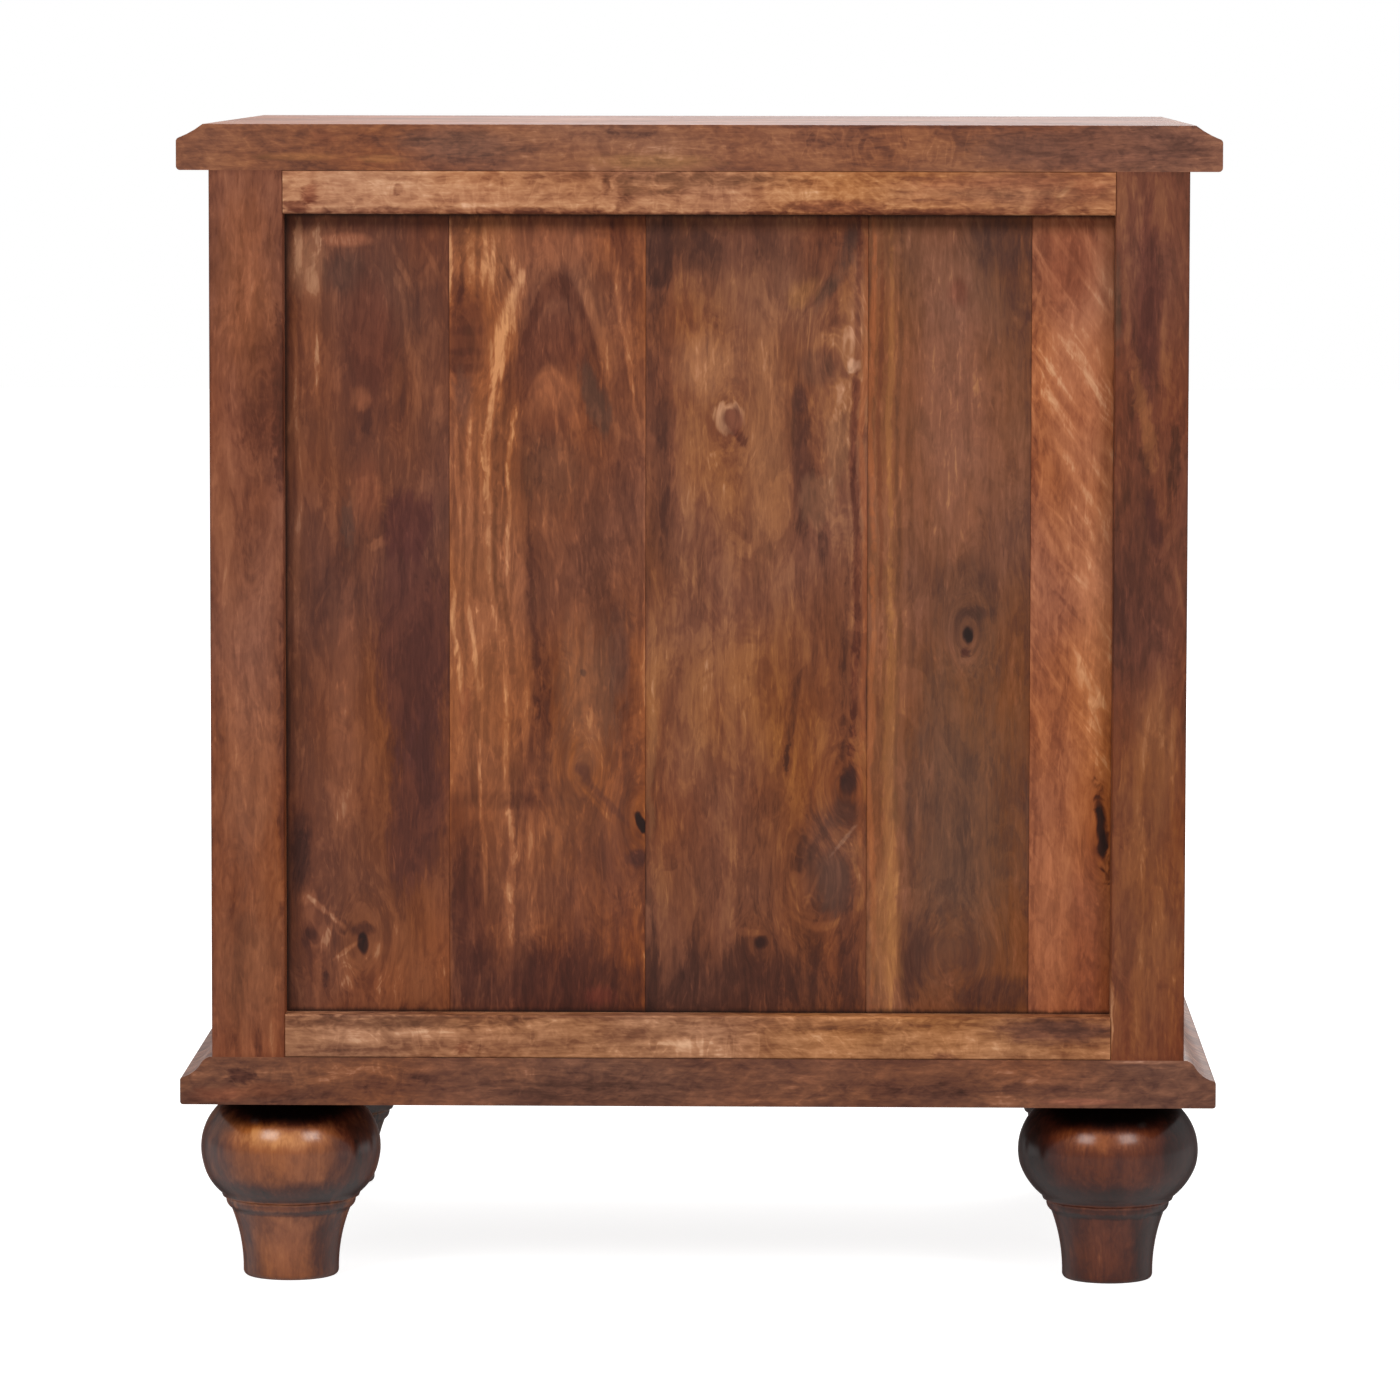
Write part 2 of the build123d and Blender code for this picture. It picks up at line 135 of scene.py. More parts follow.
def effect(name, inputs, outputs):
    """A shader node group. Each input is named with its plain value: a number, a vector of
    three or a colour of four. Returns the group's tree, what comes in and what goes out."""
    tree = bpy.data.node_groups.new(name, "ShaderNodeTree")
    kinds = {1: "Float", 3: "Vector", 4: "Color"}
    for label, value in inputs.items():
        kind = kinds[np.size(value)]
        socket = tree.interface.new_socket(label, in_out="INPUT", socket_type="NodeSocket" + kind)
        socket.default_value = value
    for label, kind in outputs.items():
        tree.interface.new_socket(label, in_out="OUTPUT", socket_type="NodeSocket" + kind)
    come = tree.nodes.new("NodeGroupInput").outputs
    go = tree.nodes.new("NodeGroupOutput").inputs
    return tree, come, go


def make_figure():
    """Growth rings round a pith line beside the board, bent by slow noise, with streaks along
    the grain, fine fibre, scattered pale flecks, crisp-edged patches, broad clouds and small
    mottle. The ring count at a point is its distance from the pith plus taper times its place
    along the board, over the ring width. The seed draws each board from other noise."""
    tree, come, go = effect(
        "timber figure",
        {"Vector": (0, 0, 0), "Seed": 0.0, "Pith Across": 0.0, "Pith Behind": -0.05, "Taper": 0.05,
         "Ring Width": 0.006, "Waver": 0.006, "Rings": 0.4, "Streaks": 0.4, "Fibre": 0.3,
         "Flecks": 0.1, "Patches": 0.1, "Clouds": 0.4, "Mottle": 0.1},
        {"Tone": "Float", "Fine": "Float", "Ragged": "Float", "Crumbs": "Float", "Height": "Float"})
    away = joined(tree, *(sums(tree, "MULTIPLY", come["Seed"], step) for step in (0.37, 0.53, 0.71)))
    still = vectors(tree, "ADD", come["Vector"], away)
    slow = noise(tree, vectors(tree, "MULTIPLY", still, (11, 11, 4)), 2.0)[1]
    sway = scaled(tree, vectors(tree, "SUBTRACT", slow, (0.5, 0.5, 0.5)), come["Waver"])
    bent = vectors(tree, "ADD", come["Vector"], sway)
    grown = vectors(tree, "ADD", bent, away)

    across, behind, along = parts(tree, bent)
    from_pith = joined(tree, sums(tree, "SUBTRACT", across, come["Pith Across"]),
                       sums(tree, "SUBTRACT", behind, come["Pith Behind"]))
    reach = weighted(tree, vectors(tree, "LENGTH", from_pith), (come["Taper"], along))
    count = sums(tree, "DIVIDE", reach, come["Ring Width"])
    ringed = joined(tree, count, come["Seed"], sums(tree, "MULTIPLY", along, 2.5))
    rings = speckle(tree, ringed, 1.0, 1.0, 3.0, 0.62)

    streaks = speckle(tree, grown, 120, 10, 4.0, 0.66, 0.4)
    fibre = speckle(tree, grown, 560, 95, 2.0, 0.6, 0.5)
    flecks = faded(tree, speckle(tree, grown, 300, 52, 2.0, 0.6, 1.2), 0.06, 0.24)
    patches = faded(tree, speckle(tree, grown, 80, 27, 4.0, 0.68, 1.0), -0.07, 0.07, -0.5, 0.5)
    clouds = speckle(tree, still, 24, 9, 4.0, 0.62, 0.3)
    mottle = speckle(tree, still, 240, 130, 2.0, 0.6, 0.8)
    torn = speckle(tree, grown, 85, 17, 3.0, 0.65)
    ragged = weighted(tree, torn, (0.7, speckle(tree, grown, 420, 110, 2.0, 0.6)))
    fine = weighted(tree, 0.0, (come["Streaks"], streaks), (come["Fibre"], fibre),
                    (come["Flecks"], flecks), (come["Patches"], patches), (come["Mottle"], mottle))
    tone = weighted(tree, sums(tree, "ADD", fine, 0.5), (come["Rings"], rings), (come["Clouds"], clouds))
    height = weighted(tree, 0.5, (0.7, fibre), (0.35, streaks), (0.25, mottle), (0.2, rings))
    tree.links.new(tone, go["Tone"])
    tree.links.new(fine, go["Fine"])
    tree.links.new(ragged, go["Ragged"])
    tree.links.new(weighted(tree, 0.0, (0.5, ragged), (1.3, mottle)), go["Crumbs"])
    tree.links.new(height, go["Height"])
    return tree


def make_mark():
    """A darker or paler place, as figure in the wood and also as painted light and shade: an
    ellipse in X and Z with a ragged, soft rim. Lean and bend carry its middle sideways by lean
    z + bend z^2, wander sways it, and arch lowers its two sides by arch x^2. Inside it the tone
    goes up or down by the amount."""
    tree, come, go = effect(
        "figure and painted light mark",
        {"Tone": 0.5, "Vector": (0, 0, 0), "Ragged": 0.0, "X": 0.0, "Z": 0.0, "Half X": 0.01,
         "Half Z": 0.01, "Lean": 0.0, "Bend": 0.0, "Arch": 0.0, "Amount": 0.1, "Soft": 0.3,
         "Rough Rim": 1.9, "Wander": 0.0},
        {"Tone": "Float", "Mask": "Float"})
    across, _, along = parts(tree, come["Vector"])
    up = sums(tree, "SUBTRACT", along, come["Z"])
    path = sums(tree, "MULTIPLY", up, sums(tree, "MULTIPLY_ADD", come["Bend"], up, come["Lean"]))
    side = sums(tree, "SUBTRACT", sums(tree, "SUBTRACT", across, come["X"]), path)
    side = sums(tree, "ADD", side, come["Wander"])
    up = weighted(tree, up, (sums(tree, "MULTIPLY", side, side), come["Arch"]))
    spot = joined(tree, sums(tree, "DIVIDE", side, come["Half X"]),
                  sums(tree, "DIVIDE", up, come["Half Z"]))
    reach = weighted(tree, vectors(tree, "LENGTH", spot), (come["Rough Rim"], come["Ragged"]))
    mask = faded(tree, reach, sums(tree, "ADD", 1.0, come["Soft"]),
                 sums(tree, "SUBTRACT", 1.0, come["Soft"]))
    tree.links.new(weighted(tree, come["Tone"], (come["Amount"], mask)), go["Tone"])
    tree.links.new(mask, go["Mask"])
    return tree


def make_burl():
    """Contorted grain beside a knot: inside a soft ellipse, thin lines where a curled noise
    passes its middle value lift the tone, and the noise itself shades it on both sides."""
    tree, come, go = effect(
        "contorted grain",
        {"Tone": 0.5, "Vector": (0, 0, 0), "Ragged": 0.0, "X": 0.0, "Z": 0.0, "Half X": 0.01,
         "Half Z": 0.01, "Amount": 0.2, "Spots": 90.0},
        {"Tone": "Float"})
    across, _, along = parts(tree, come["Vector"])
    side = sums(tree, "SUBTRACT", across, come["X"])
    up = sums(tree, "SUBTRACT", along, come["Z"])
    spot = joined(tree, sums(tree, "DIVIDE", side, come["Half X"]),
                  sums(tree, "DIVIDE", up, come["Half Z"]))
    reach = weighted(tree, vectors(tree, "LENGTH", spot), (1.2, come["Ragged"]))
    mask = faded(tree, reach, 1.3, 0.6)
    spread = vectors(tree, "MULTIPLY", come["Vector"], (1.0, 1.0, 0.55))
    curled = sums(tree, "SUBTRACT", noise(tree, spread, 1.0, 0.5, 1.4, come["Spots"])[0], 0.5)
    line = faded(tree, sums(tree, "ABSOLUTE", curled), 0.09, 0.0)
    change = weighted(tree, -0.2, (0.7, line), (-2.0, curled))
    change = sums(tree, "MULTIPLY", change, sums(tree, "MULTIPLY", mask, come["Amount"]))
    tree.links.new(sums(tree, "ADD", come["Tone"], change), go["Tone"])
    return tree


def make_knot():
    """Grain that parts round a knot: near (X, Z) the pattern is drawn from closer to the
    centre by the factor 1 - hold exp(-q^2 / 2), where q is how many half sizes the point lies
    from the centre, and it sinks towards the pith by swell."""
    tree, come, go = effect(
        "grain round a knot",
        {"Vector": (0, 0, 0), "X": 0.0, "Z": 0.0, "Half X": 0.01, "Half Z": 0.02, "Hold": 0.8,
         "Swell": 0.01},
        {"Vector": "Vector"})
    across, behind, along = parts(tree, come["Vector"])
    side = sums(tree, "SUBTRACT", across, come["X"])
    up = sums(tree, "SUBTRACT", along, come["Z"])
    spot = joined(tree, sums(tree, "DIVIDE", side, come["Half X"]),
                  sums(tree, "DIVIDE", up, come["Half Z"]))
    square = vectors(tree, "DOT_PRODUCT", spot, spot)
    near = sums(tree, "EXPONENT", sums(tree, "MULTIPLY", square, -0.5))
    held = sums(tree, "MULTIPLY", near, come["Hold"])
    moved = joined(tree, sums(tree, "SUBTRACT", across, sums(tree, "MULTIPLY", side, held)),
                   weighted(tree, behind, (near, come["Swell"])),
                   sums(tree, "SUBTRACT", along, sums(tree, "MULTIPLY", up, held)))
    tree.links.new(moved, go["Vector"])
    return tree


def make_ripple():
    """Curly figure: streaks of noise that lie at an angle across the grain, strong in some
    places and faint in others, with their pale side stronger than their dark one."""
    tree, come, go = effect(
        "ripple",
        {"Vector": (0, 0, 0), "Angle": 0.6, "Across": 180.0, "Along": 30.0},
        {"Ripple": "Float"})
    slanted = node(tree, "ShaderNodeVectorRotate", {"Vector": come["Vector"], "Angle": come["Angle"]},
                   rotation_type="Y_AXIS").outputs[0]
    spread = vectors(tree, "MULTIPLY", slanted,
                     joined(tree, come["Across"], come["Across"], come["Along"]))
    wave = sums(tree, "SUBTRACT", noise(tree, spread, 3.0, 0.6, 1.1)[0], 0.5)
    wave = sums(tree, "MAXIMUM", sums(tree, "MULTIPLY", wave, 1.4), sums(tree, "MULTIPLY", wave, 0.5))
    strong = weighted(tree, 0.9, (speckle(tree, come["Vector"], 34, 22, 1.0), 2.2))
    tree.links.new(sums(tree, "MULTIPLY", wave, sums(tree, "MAXIMUM", strong, 0.1)), go["Ripple"])
    return tree


def make_staves():
    """Boards glued edge to edge: the place across is cut into staves of one width, each with
    its own shift of the figure and its own shade, and a thin dark joint between them."""
    tree, come, go = effect(
        "glued staves",
        {"Vector": (0, 0, 0), "Width": 0.08, "Seed": 0.0},
        {"Vector": "Vector", "Shade": "Float", "Joint": "Float"})
    across, behind, along = parts(tree, come["Vector"])
    place = sums(tree, "DIVIDE", across, come["Width"])
    number = sums(tree, "FLOOR", place)
    within = sums(tree, "SUBTRACT", place, number)
    chance = node(tree, "ShaderNodeTexWhiteNoise", {"W": sums(tree, "ADD", number, come["Seed"])},
                  noise_dimensions="1D").outputs
    drawn = node(tree, "ShaderNodeSeparateColor", {0: chance["Color"]}).outputs
    shifted = joined(
        tree, sums(tree, "MULTIPLY", sums(tree, "SUBTRACT", within, drawn[0]), come["Width"]),
        weighted(tree, behind, (drawn[1], 0.04)), weighted(tree, along, (drawn[2], 1.3)))
    rim = sums(tree, "MINIMUM", within, sums(tree, "SUBTRACT", 1.0, within))
    rim = sums(tree, "MULTIPLY", rim, come["Width"])
    tree.links.new(shifted, go["Vector"])
    tree.links.new(sums(tree, "SUBTRACT", chance["Value"], 0.5), go["Shade"])
    tree.links.new(faded(tree, rim, 0.0009, 0.0001, way="LINEAR"), go["Joint"])
    return tree


def make_rim():
    """Nearness to a box's edges: a point on a face is at zero from that face, so the middle
    one of its three distances to the box's faces is its distance from the nearest edge."""
    tree, come, go = effect(
        "piece edges",
        {"Vector": (0, 0, 0), "Centre": (0, 0, 0), "Half": (0.1, 0.1, 0.1), "Reach": 0.003,
         "Ragged": 0.0},
        {"Edge": "Float"})
    local = vectors(tree, "ABSOLUTE", vectors(tree, "SUBTRACT", come["Vector"], come["Centre"]))
    x, y, z = parts(tree, vectors(tree, "SUBTRACT", come["Half"], local))
    nearer = sums(tree, "MINIMUM", x, y)
    further = sums(tree, "MAXIMUM", x, y)
    middle = sums(tree, "MAXIMUM", nearer, sums(tree, "MINIMUM", further, z))
    wide = sums(tree, "MULTIPLY", come["Reach"], weighted(tree, 1.0, (come["Ragged"], 1.6)))
    tree.links.new(faded(tree, middle, wide, 0.0), go["Edge"])
    return tree


def make_stain():
    """Stain that has not taken evenly: the colour's hue and strength drift slowly."""
    tree, come, go = effect(
        "uneven stain",
        {"Color": (0.5, 0.5, 0.5, 1), "Vector": (0, 0, 0), "Amount": 1.0},
        {"Color": "Color"})
    hue = sums(tree, "MULTIPLY", speckle(tree, come["Vector"], 31, 14), come["Amount"])
    strength = sums(tree, "MULTIPLY", speckle(tree, come["Vector"], 17, 9), come["Amount"])
    drift = node(tree, "ShaderNodeHueSaturation", {
        "Hue": weighted(tree, 0.5, (hue, 0.009)),
        "Saturation": weighted(tree, 1.0, (strength, 0.35)),
        "Color": come["Color"]})
    tree.links.new(drift.outputs[0], go["Color"])
    return tree


figure = make_figure()
figure_and_light_mark = make_mark()
contorted_grain = make_burl()
grain_round_knot = make_knot()
ripple = make_ripple()
glued_staves = make_staves()
piece_edges = make_rim()
uneven_stain = make_stain()

# How a board is turned so that its grain lies along the figure's third axis, the tones that
# its five shades stand for, and how deep its grain is in metres.
quarter_turn = np.pi / 2
grain_turns = {"Z": (0, 0, 0), "X": (0, -quarter_turn, 0), "Y": (quarter_turn, 0, 0),
               "Z sideways": (0, 0, quarter_turn)}
shade_tones = (0.1, 0.32, 0.5, 0.68, 0.9)
grain_depth = 0.0006
mm_in_metre = 1000
# A mark has a crumbly rim where its smaller half size is under thin, and a rougher rim than a
# broad one where it is narrower than narrow, both in millimetres. A streak that is more than
# slender times as long as it is wide sways.
thin = 3.5
narrow = 8
slender = 8
# Painted shade round the panel's opening, where the frame shades the recessed planks, reaches this far in
# metres, and hides this much of the wood.
shade_reach = 0.0028
shade_cover = 0.88


def bare(name):
    """A new material without nodes, its tree, and the place on the object that patterns use."""
    material = bpy.data.materials.new(name)
    material.use_nodes = True
    tree = material.node_tree
    tree.nodes.clear()
    return material, tree, node(tree, "ShaderNodeTexCoord", {}).outputs["Object"]


def laid(tree, group, inputs):
    """Puts a shared effect into a material with that piece's own values."""
    return node(tree, "ShaderNodeGroup", inputs, node_tree=group).outputs


def extent(x, z, half_x, half_z):
    """The middle and the half sizes of a place in the wood, from millimetres."""
    return {"X": x / mm_in_metre, "Z": z / mm_in_metre,
            "Half X": half_x / mm_in_metre, "Half Z": half_z / mm_in_metre}


def mixed(tree, share, under, over):
    """The colour under with a share of the plain colour over laid on it."""
    blend = node(tree, "ShaderNodeMix", {0: share, 6: under, 7: colour(over)}, data_type="RGBA")
    return blend.outputs[2]


def timber(name, shades, box, grain="Z", seed=0.0, pith=(0.0, -0.05), taper=0.05, ring=0.006,
           waver=0.008, rings=0.6, streaks=0.55, fibre=0.35, flecks=0.1, patches=0.09, clouds=0.5,
           mottle=0.15, stain=1.0, curl=None, curl_from=None, staves=None, knots=(), burls=(), marks=(),
           edge=0.0, edge_reach=0.003, opening=None, rough=0.5, wax=0.12, coat=0.0, matt=None, bump=0.35):
    """A stained and waxed board. Shades run from its darkest to its palest, and box is the
    piece's two corners in metres. A knot is x, z, half_x, half_z, hold and swell. A burl is x,
    z, half_x, half_z, amount and spots. A mark is x, z, half_x, half_z, amount and soft, then
    lean, bend and arch where it has them, then its tint and how much of that it takes; on the
    feet the marks are painted light and shade. Their lengths are in millimetres. An opening
    adds painted shade towards its edges. The wax coat is left off in the mark whose number is matt."""
    material, tree, place = bare(name)
    low, high = np.array(box[0]), np.array(box[1])
    centre = (low + high) / 2
    grown = place
    for *where, hold, swell in knots:
        grown = laid(tree, grain_round_knot, {
            "Vector": grown, **extent(*where), "Hold": hold, "Swell": swell / mm_in_metre})[0]
    # A Mapping node turns the board so that its grain runs along the third axis, from its middle.
    middle = vectors(tree, "SUBTRACT", grown, tuple(centre))
    board = node(tree, "ShaderNodeMapping", {"Vector": middle, "Rotation": grain_turns[grain]}).outputs[0]
    if staves:
        board, paler, joint = laid(tree, glued_staves, {"Vector": board, "Width": staves, "Seed": seed})
    tone, fine, ragged, crumbs, height = laid(tree, figure, {
        "Vector": board, "Seed": seed, "Pith Across": pith[0], "Pith Behind": pith[1], "Taper": taper,
        "Ring Width": ring, "Waver": waver, "Rings": rings, "Streaks": streaks, "Fibre": fibre,
        "Flecks": flecks, "Patches": patches, "Clouds": clouds, "Mottle": mottle})
    if curl:
        angle, across, along, amount = curl
        waves = laid(tree, ripple, {"Vector": board, "Angle": angle, "Across": across, "Along": along})[0]
        if curl_from:
            # The ripple comes in over eight centimetres of height and is faint below them.
            rise = faded(tree, parts(tree, place)[2], curl_from - 0.04, curl_from + 0.04, 0.15)
            waves = sums(tree, "MULTIPLY", waves, rise)
        tone = weighted(tree, tone, (waves, amount))
    if staves:
        tone = weighted(tree, tone, (0.3, paler), (-0.35, joint))
    if edge:
        rim = laid(tree, piece_edges, {
            "Vector": place, "Centre": tuple(centre), "Half": tuple((high - low) / 2),
            "Reach": edge_reach, "Ragged": ragged})[0]
        tone = weighted(tree, tone, (rim, edge))
    for *where, amount, spots in burls:
        tone = laid(tree, contorted_grain, {
            "Tone": tone, "Vector": place, "Ragged": ragged, **extent(*where), "Amount": amount,
            "Spots": spots})[0]

    masks, tints = [], []
    # The sway of long streaks is up to half a centimetre.
    wander = sums(tree, "MULTIPLY", speckle(tree, grown, 20, 14), 0.01)
    for row in marks:
        numbers = [value for value in row if not isinstance(value, str)]
        if len(numbers) < len(row):
            tints.append((len(masks), *row[-2:]))
            numbers.pop()
        # Lean, bend and arch are nought where a mark leaves them out.
        x, z, half_x, half_z, amount, soft, lean, bend, arch = (*numbers, 0, 0, 0)[:9]
        rough_rim = 1.7 if half_x < narrow else 1.0
        if len(masks) == matt:
            rough_rim = 0.15
        tone, mask = laid(tree, figure_and_light_mark, {
            "Tone": tone, "Vector": place, "Ragged": crumbs if min(half_x, half_z) < thin else ragged,
            **extent(x, z, half_x, half_z), "Lean": lean, "Bend": bend, "Arch": arch, "Amount": amount,
            "Soft": soft, "Rough Rim": rough_rim, "Wander": wander if half_z > slender * half_x else 0.0})
        masks.append(mask)

    shown = shaded(tree, tone, list(zip(shade_tones, shades)))
    shown = laid(tree, uneven_stain, {"Color": shown, "Vector": board, "Amount": stain})[0]
    tinted = 0.0
    for number, tint, amount in tints:
        share = sums(tree, "MULTIPLY", masks[number], amount)
        shown = mixed(tree, share, shown, tint)
        tinted = sums(tree, "MAXIMUM", tinted, share)
    if tints:
        # The fine figure shows through a tint as it does through stain.
        shown = scaled(tree, shown, weighted(tree, 1.0, (sums(tree, "MULTIPLY", fine, tinted), 3.2)))
    # Painted shade: the planks darken towards the edges of the frame's opening, where the frame shades the
    # recess.
    if opening:
        start, stop, shade_colour = opening
        rim = laid(tree, piece_edges, {
            "Vector": place, "Centre": tuple((np.array(start) + stop) / 2),
            "Half": tuple((np.array(stop) - start) / 2), "Reach": shade_reach, "Ragged": ragged})[0]
        shown = mixed(tree, sums(tree, "MULTIPLY", rim, shade_cover), shown, shade_colour)

    relief = node(tree, "ShaderNodeBump", {
        "Height": height, "Strength": bump, "Distance": grain_depth}).outputs[0]
    # Dark wood is duller than pale wood, and raised fibres are duller than the rest.
    sheen = weighted(tree, rough, (-0.16, sums(tree, "SUBTRACT", tone, 0.5)),
                     (0.12, sums(tree, "SUBTRACT", height, 0.5)))
    if coat:
        # Wax shines where it faces the eye, and dies away round the rim.
        facing = node(tree, "ShaderNodeLayerWeight", {"Blend": 0.5}).outputs["Facing"]
        coat = faded(tree, facing, 0.3, 0.8, coat, 0.0)
    if matt is not None:
        coat = sums(tree, "MULTIPLY", sums(tree, "SUBTRACT", 1.0, masks[matt]), coat)
    shader = node(tree, "ShaderNodeBsdfPrincipled", {
        "Base Color": shown, "Roughness": sheen, "Normal": relief, "Coat Weight": coat,
        "Coat Roughness": 0.2, "Coat IOR": 1.36, "Specular IOR Level": wax})
    node(tree, "ShaderNodeOutputMaterial", {"Surface": shader.outputs[0]})
    return material


def clad(name, material):
    """Gives a frame piece its finish in every slot it has."""
    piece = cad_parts[name]
    if not piece.data.materials:
        piece.data.materials.append(material)
    for number in range(len(piece.data.materials)):
        piece.data.materials[number] = material


def dress(name, shades, **looks):
    """Finishes a frame piece in its own timber."""
    clad(name, timber(name.replace("_", " "), shades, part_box(name), **looks))


# As seen from behind, the right-hand post stands on the left of the back.
dress("rear_right_post", ("331a11", "592f21", "7a4630", "91593e", "b17e5c"), seed=3.1, pith=(0.02, 0.09),
      taper=0.03, ring=0.005, rings=0.3, streaks=0.32, fibre=0.24, mottle=0.2, edge=-0.06,
      knots=[(208.5, 441.5, 12, 22, 0.4, 6)],
      burls=[(214.5, 430.5, 16, 29, 0.06, 110), (216, 285.5, 16, 57, 0.06, 110)],
      marks=[
          (218, 484, 13, 38, -0.03, 0.7, "844a29", 0.55), (222.5, 484, 1, 14, -0.12, 0.5),
          (215.5, 484, 1, 16, 0.1, 0.5), (208.5, 433, 11, 29, -0.13, 0.7, "58301f", 0.3),
          (200, 430.5, 3.3, 38, -0.16, 0.5), (223, 426, 8, 24, -0.06, 0.6),
          (213.5, 455, 10, 4.3, -0.08, 0.6), (218, 372.5, 13, 53, -0.06, 0.8),
          (218, 334, 10, 19, 0.05, 0.8), (216, 271, 13, 67, 0.09, 0.8, "8d5c47", 0.4),
          (200, 247, 1.9, 62, -0.12, 0.6), (226, 314.5, 1.4, 43, 0.06, 0.6),
          (216, 153, 16, 29, 0.03, 0.7, "7c4f38", 0.4), (218.5, 125.5, 2.9, 9, 0.12, 0.5),
          (205, 124.5, 1.9, 9, 0.15, 0.5), (226, 123.5, 2.4, 8, -0.1, 0.5),
          (211.5, 122.5, 1.9, 7, -0.12, 0.5), (196, 145.5, 1, 29, -0.2, 0.6)])
dress("rear_left_post", ("2b150f", "4b281a", "6b3a27", "865133", "b37f5c"), seed=5.7, pith=(-0.04, 0.06),
      taper=0.09, rings=0.25, streaks=0.33, fibre=0.24, clouds=0.35, mottle=0.1, edge=-0.05,
      burls=[(-215.5, 208.5, 14, 53, 0.05, 110)],
      marks=[
          (-210, 339, 13, 43, -0.13, 0.7, "532f26", 0.45), (-202.5, 527.5, 1.9, 11, 0.08, 0.5),
          (-201, 476.5, 2.4, 21, -0.05, 0.5, "5c4030", 0.5),
          (-214.5, 479, 5, 40, -0.13, 0.5, "5c2f27", 0.45), (-206, 476.5, 1.7, 30, 0.13, 0.5, 0.06),
          (-213.5, 424, 3.3, 21, 0.17, 0.5, 0.2, "865230", 0.5), (-215.5, 430.5, 16, 72, -0.05, 0.8),
          (-224, 455, 1.7, 24, 0.09, 0.5, 0.08), (-223.5, 523.5, 7, 17, 0.07, 0.6),
          (-228, 406.5, 2.4, 18, -0.14, 0.5), (-218, 373.5, 2.9, 14, -0.14, 0.5, 0.1, "4f2822", 0.4),
          (-225.5, 360.5, 1.9, 24, 0.07, 0.5, 0.2),
          (-220.5, 266.5, 9, 29, 0.1, 0.7, 0.05, "8a5637", 0.35),
          (-215.5, 203.5, 17, 77, 0.04, 0.7, "774a33", 0.3), (-221.5, 276, 1.2, 29, 0.12, 0.5, 0.05),
          (-227, 257, 1.2, 29, 0.1, 0.5), (-199, 145.5, 1.7, 11, 0.26, 0.5),
          (-199, 128.5, 1.4, 12, 0.2, 0.5), (-211, 131, 2.4, 11, 0.08, 0.5),
          (-197.5, 324.5, 1, 144, -0.14, 0.6)])
dress("front_right_post", ("3e2119", "633827", "7c4932", "955e3f", "b27c57"), seed=8.3,
      pith=(0.01, -0.07), ring=0.005, rings=0.5, streaks=0.5, clouds=0.45, edge=-0.05,
      marks=[(219, 410, 10, 50, -0.14, 0.5), (214, 240, 12, 60, 0.1, 0.6)])
dress("front_left_post", ("3a1f18", "5f3526", "794731", "935c3e", "b27c57"), seed=11.9,
      pith=(0.03, -0.05), taper=0.04, rings=0.5, streaks=0.5, clouds=0.45, edge=-0.05,
      marks=[(-218, 300, 10, 70, -0.14, 0.5, 0.02), (-214, 480, 12, 40, 0.1, 0.6)])


# Rails. Straight lengths of the same wood are tenoned into the posts: two at the back, two at
# each side, and four across the front that part the drawers. Their faces show paler sapwood.
dress("back_top_rail", ("5a301f", "8b563a", "ab734f", "c08a63", "dcab88"), grain="X", seed=2.2,
      pith=(0.06, 0.02), taper=0.02, ring=0.005, rings=0.35, streaks=0.5, fibre=0.3, patches=0.1,
      clouds=0.6, mottle=0.5, curl=(0.5, 260, 90, 0.35),
      burls=[(-0.5, 529.5, 191, 11, 0.1, 110)],
      marks=[
          (186, 530, 3.3, 4.3, -0.14, 0.5, "86422c", 0.4),
          (191.5, 524.5, 7, 2.4, -0.12, 0.5, "7c3e28", 0.4), (142.5, 535.5, 29, 3.8, 0.06, 0.7),
          (143.5, 532.5, 2.4, 2.9, -0.22, 0.5), (123.5, 527, 7, 2.9, -0.1, 0.6),
          (44.5, 534, 2.4, 3.8, -0.18, 0.5), (35.5, 525.5, 4.3, 3.3, -0.17, 0.5),
          (23, 532, 17, 2.4, -0.1, 0.6, "8a5a3c", 0.4), (-0.5, 536.5, 40, 3.3, -0.13, 0.6, "7c5236", 0.4),
          (-36.5, 529.5, 35, 2.4, 0.08, 0.6), (-64.5, 524.5, 22, 2.9, -0.15, 0.5, "7c4630", 0.5),
          (-110.5, 531, 29, 1.9, 0.05, 0.6), (-149, 532, 48, 8, -0.03, 0.7, "92604a", 0.5),
          (-149, 536, 43, 3.3, -0.06, 0.6, "86482f", 0.3), (-125, 525.5, 24, 2.9, -0.07, 0.6),
          (-165.5, 524.5, 8, 4.3, -0.17, 0.45, -0.3, "6e3a28", 0.5),
          (-172, 528.5, 1.7, 4.3, 0.18, 0.5, -0.8), (-176.5, 533, 1.7, 3.8, 0.14, 0.5, -0.6),
          (-181.5, 526, 2.9, 4.3, -0.12, 0.5), (-184, 525.5, 12, 3.3, -0.1, 0.6, "7c4630", 0.4),
          (-187, 533, 8, 3.8, -0.06, 0.6, "8a4a30", 0.4), (118.5, 522, 72, 1.4, -0.2, 0.8, "5c2c1c", 0.5),
          (-125, 522, 72, 1.4, -0.2, 0.8, "5c2c1c", 0.5), (-0.5, 520.5, 201, 1, -0.3, 0.7)])
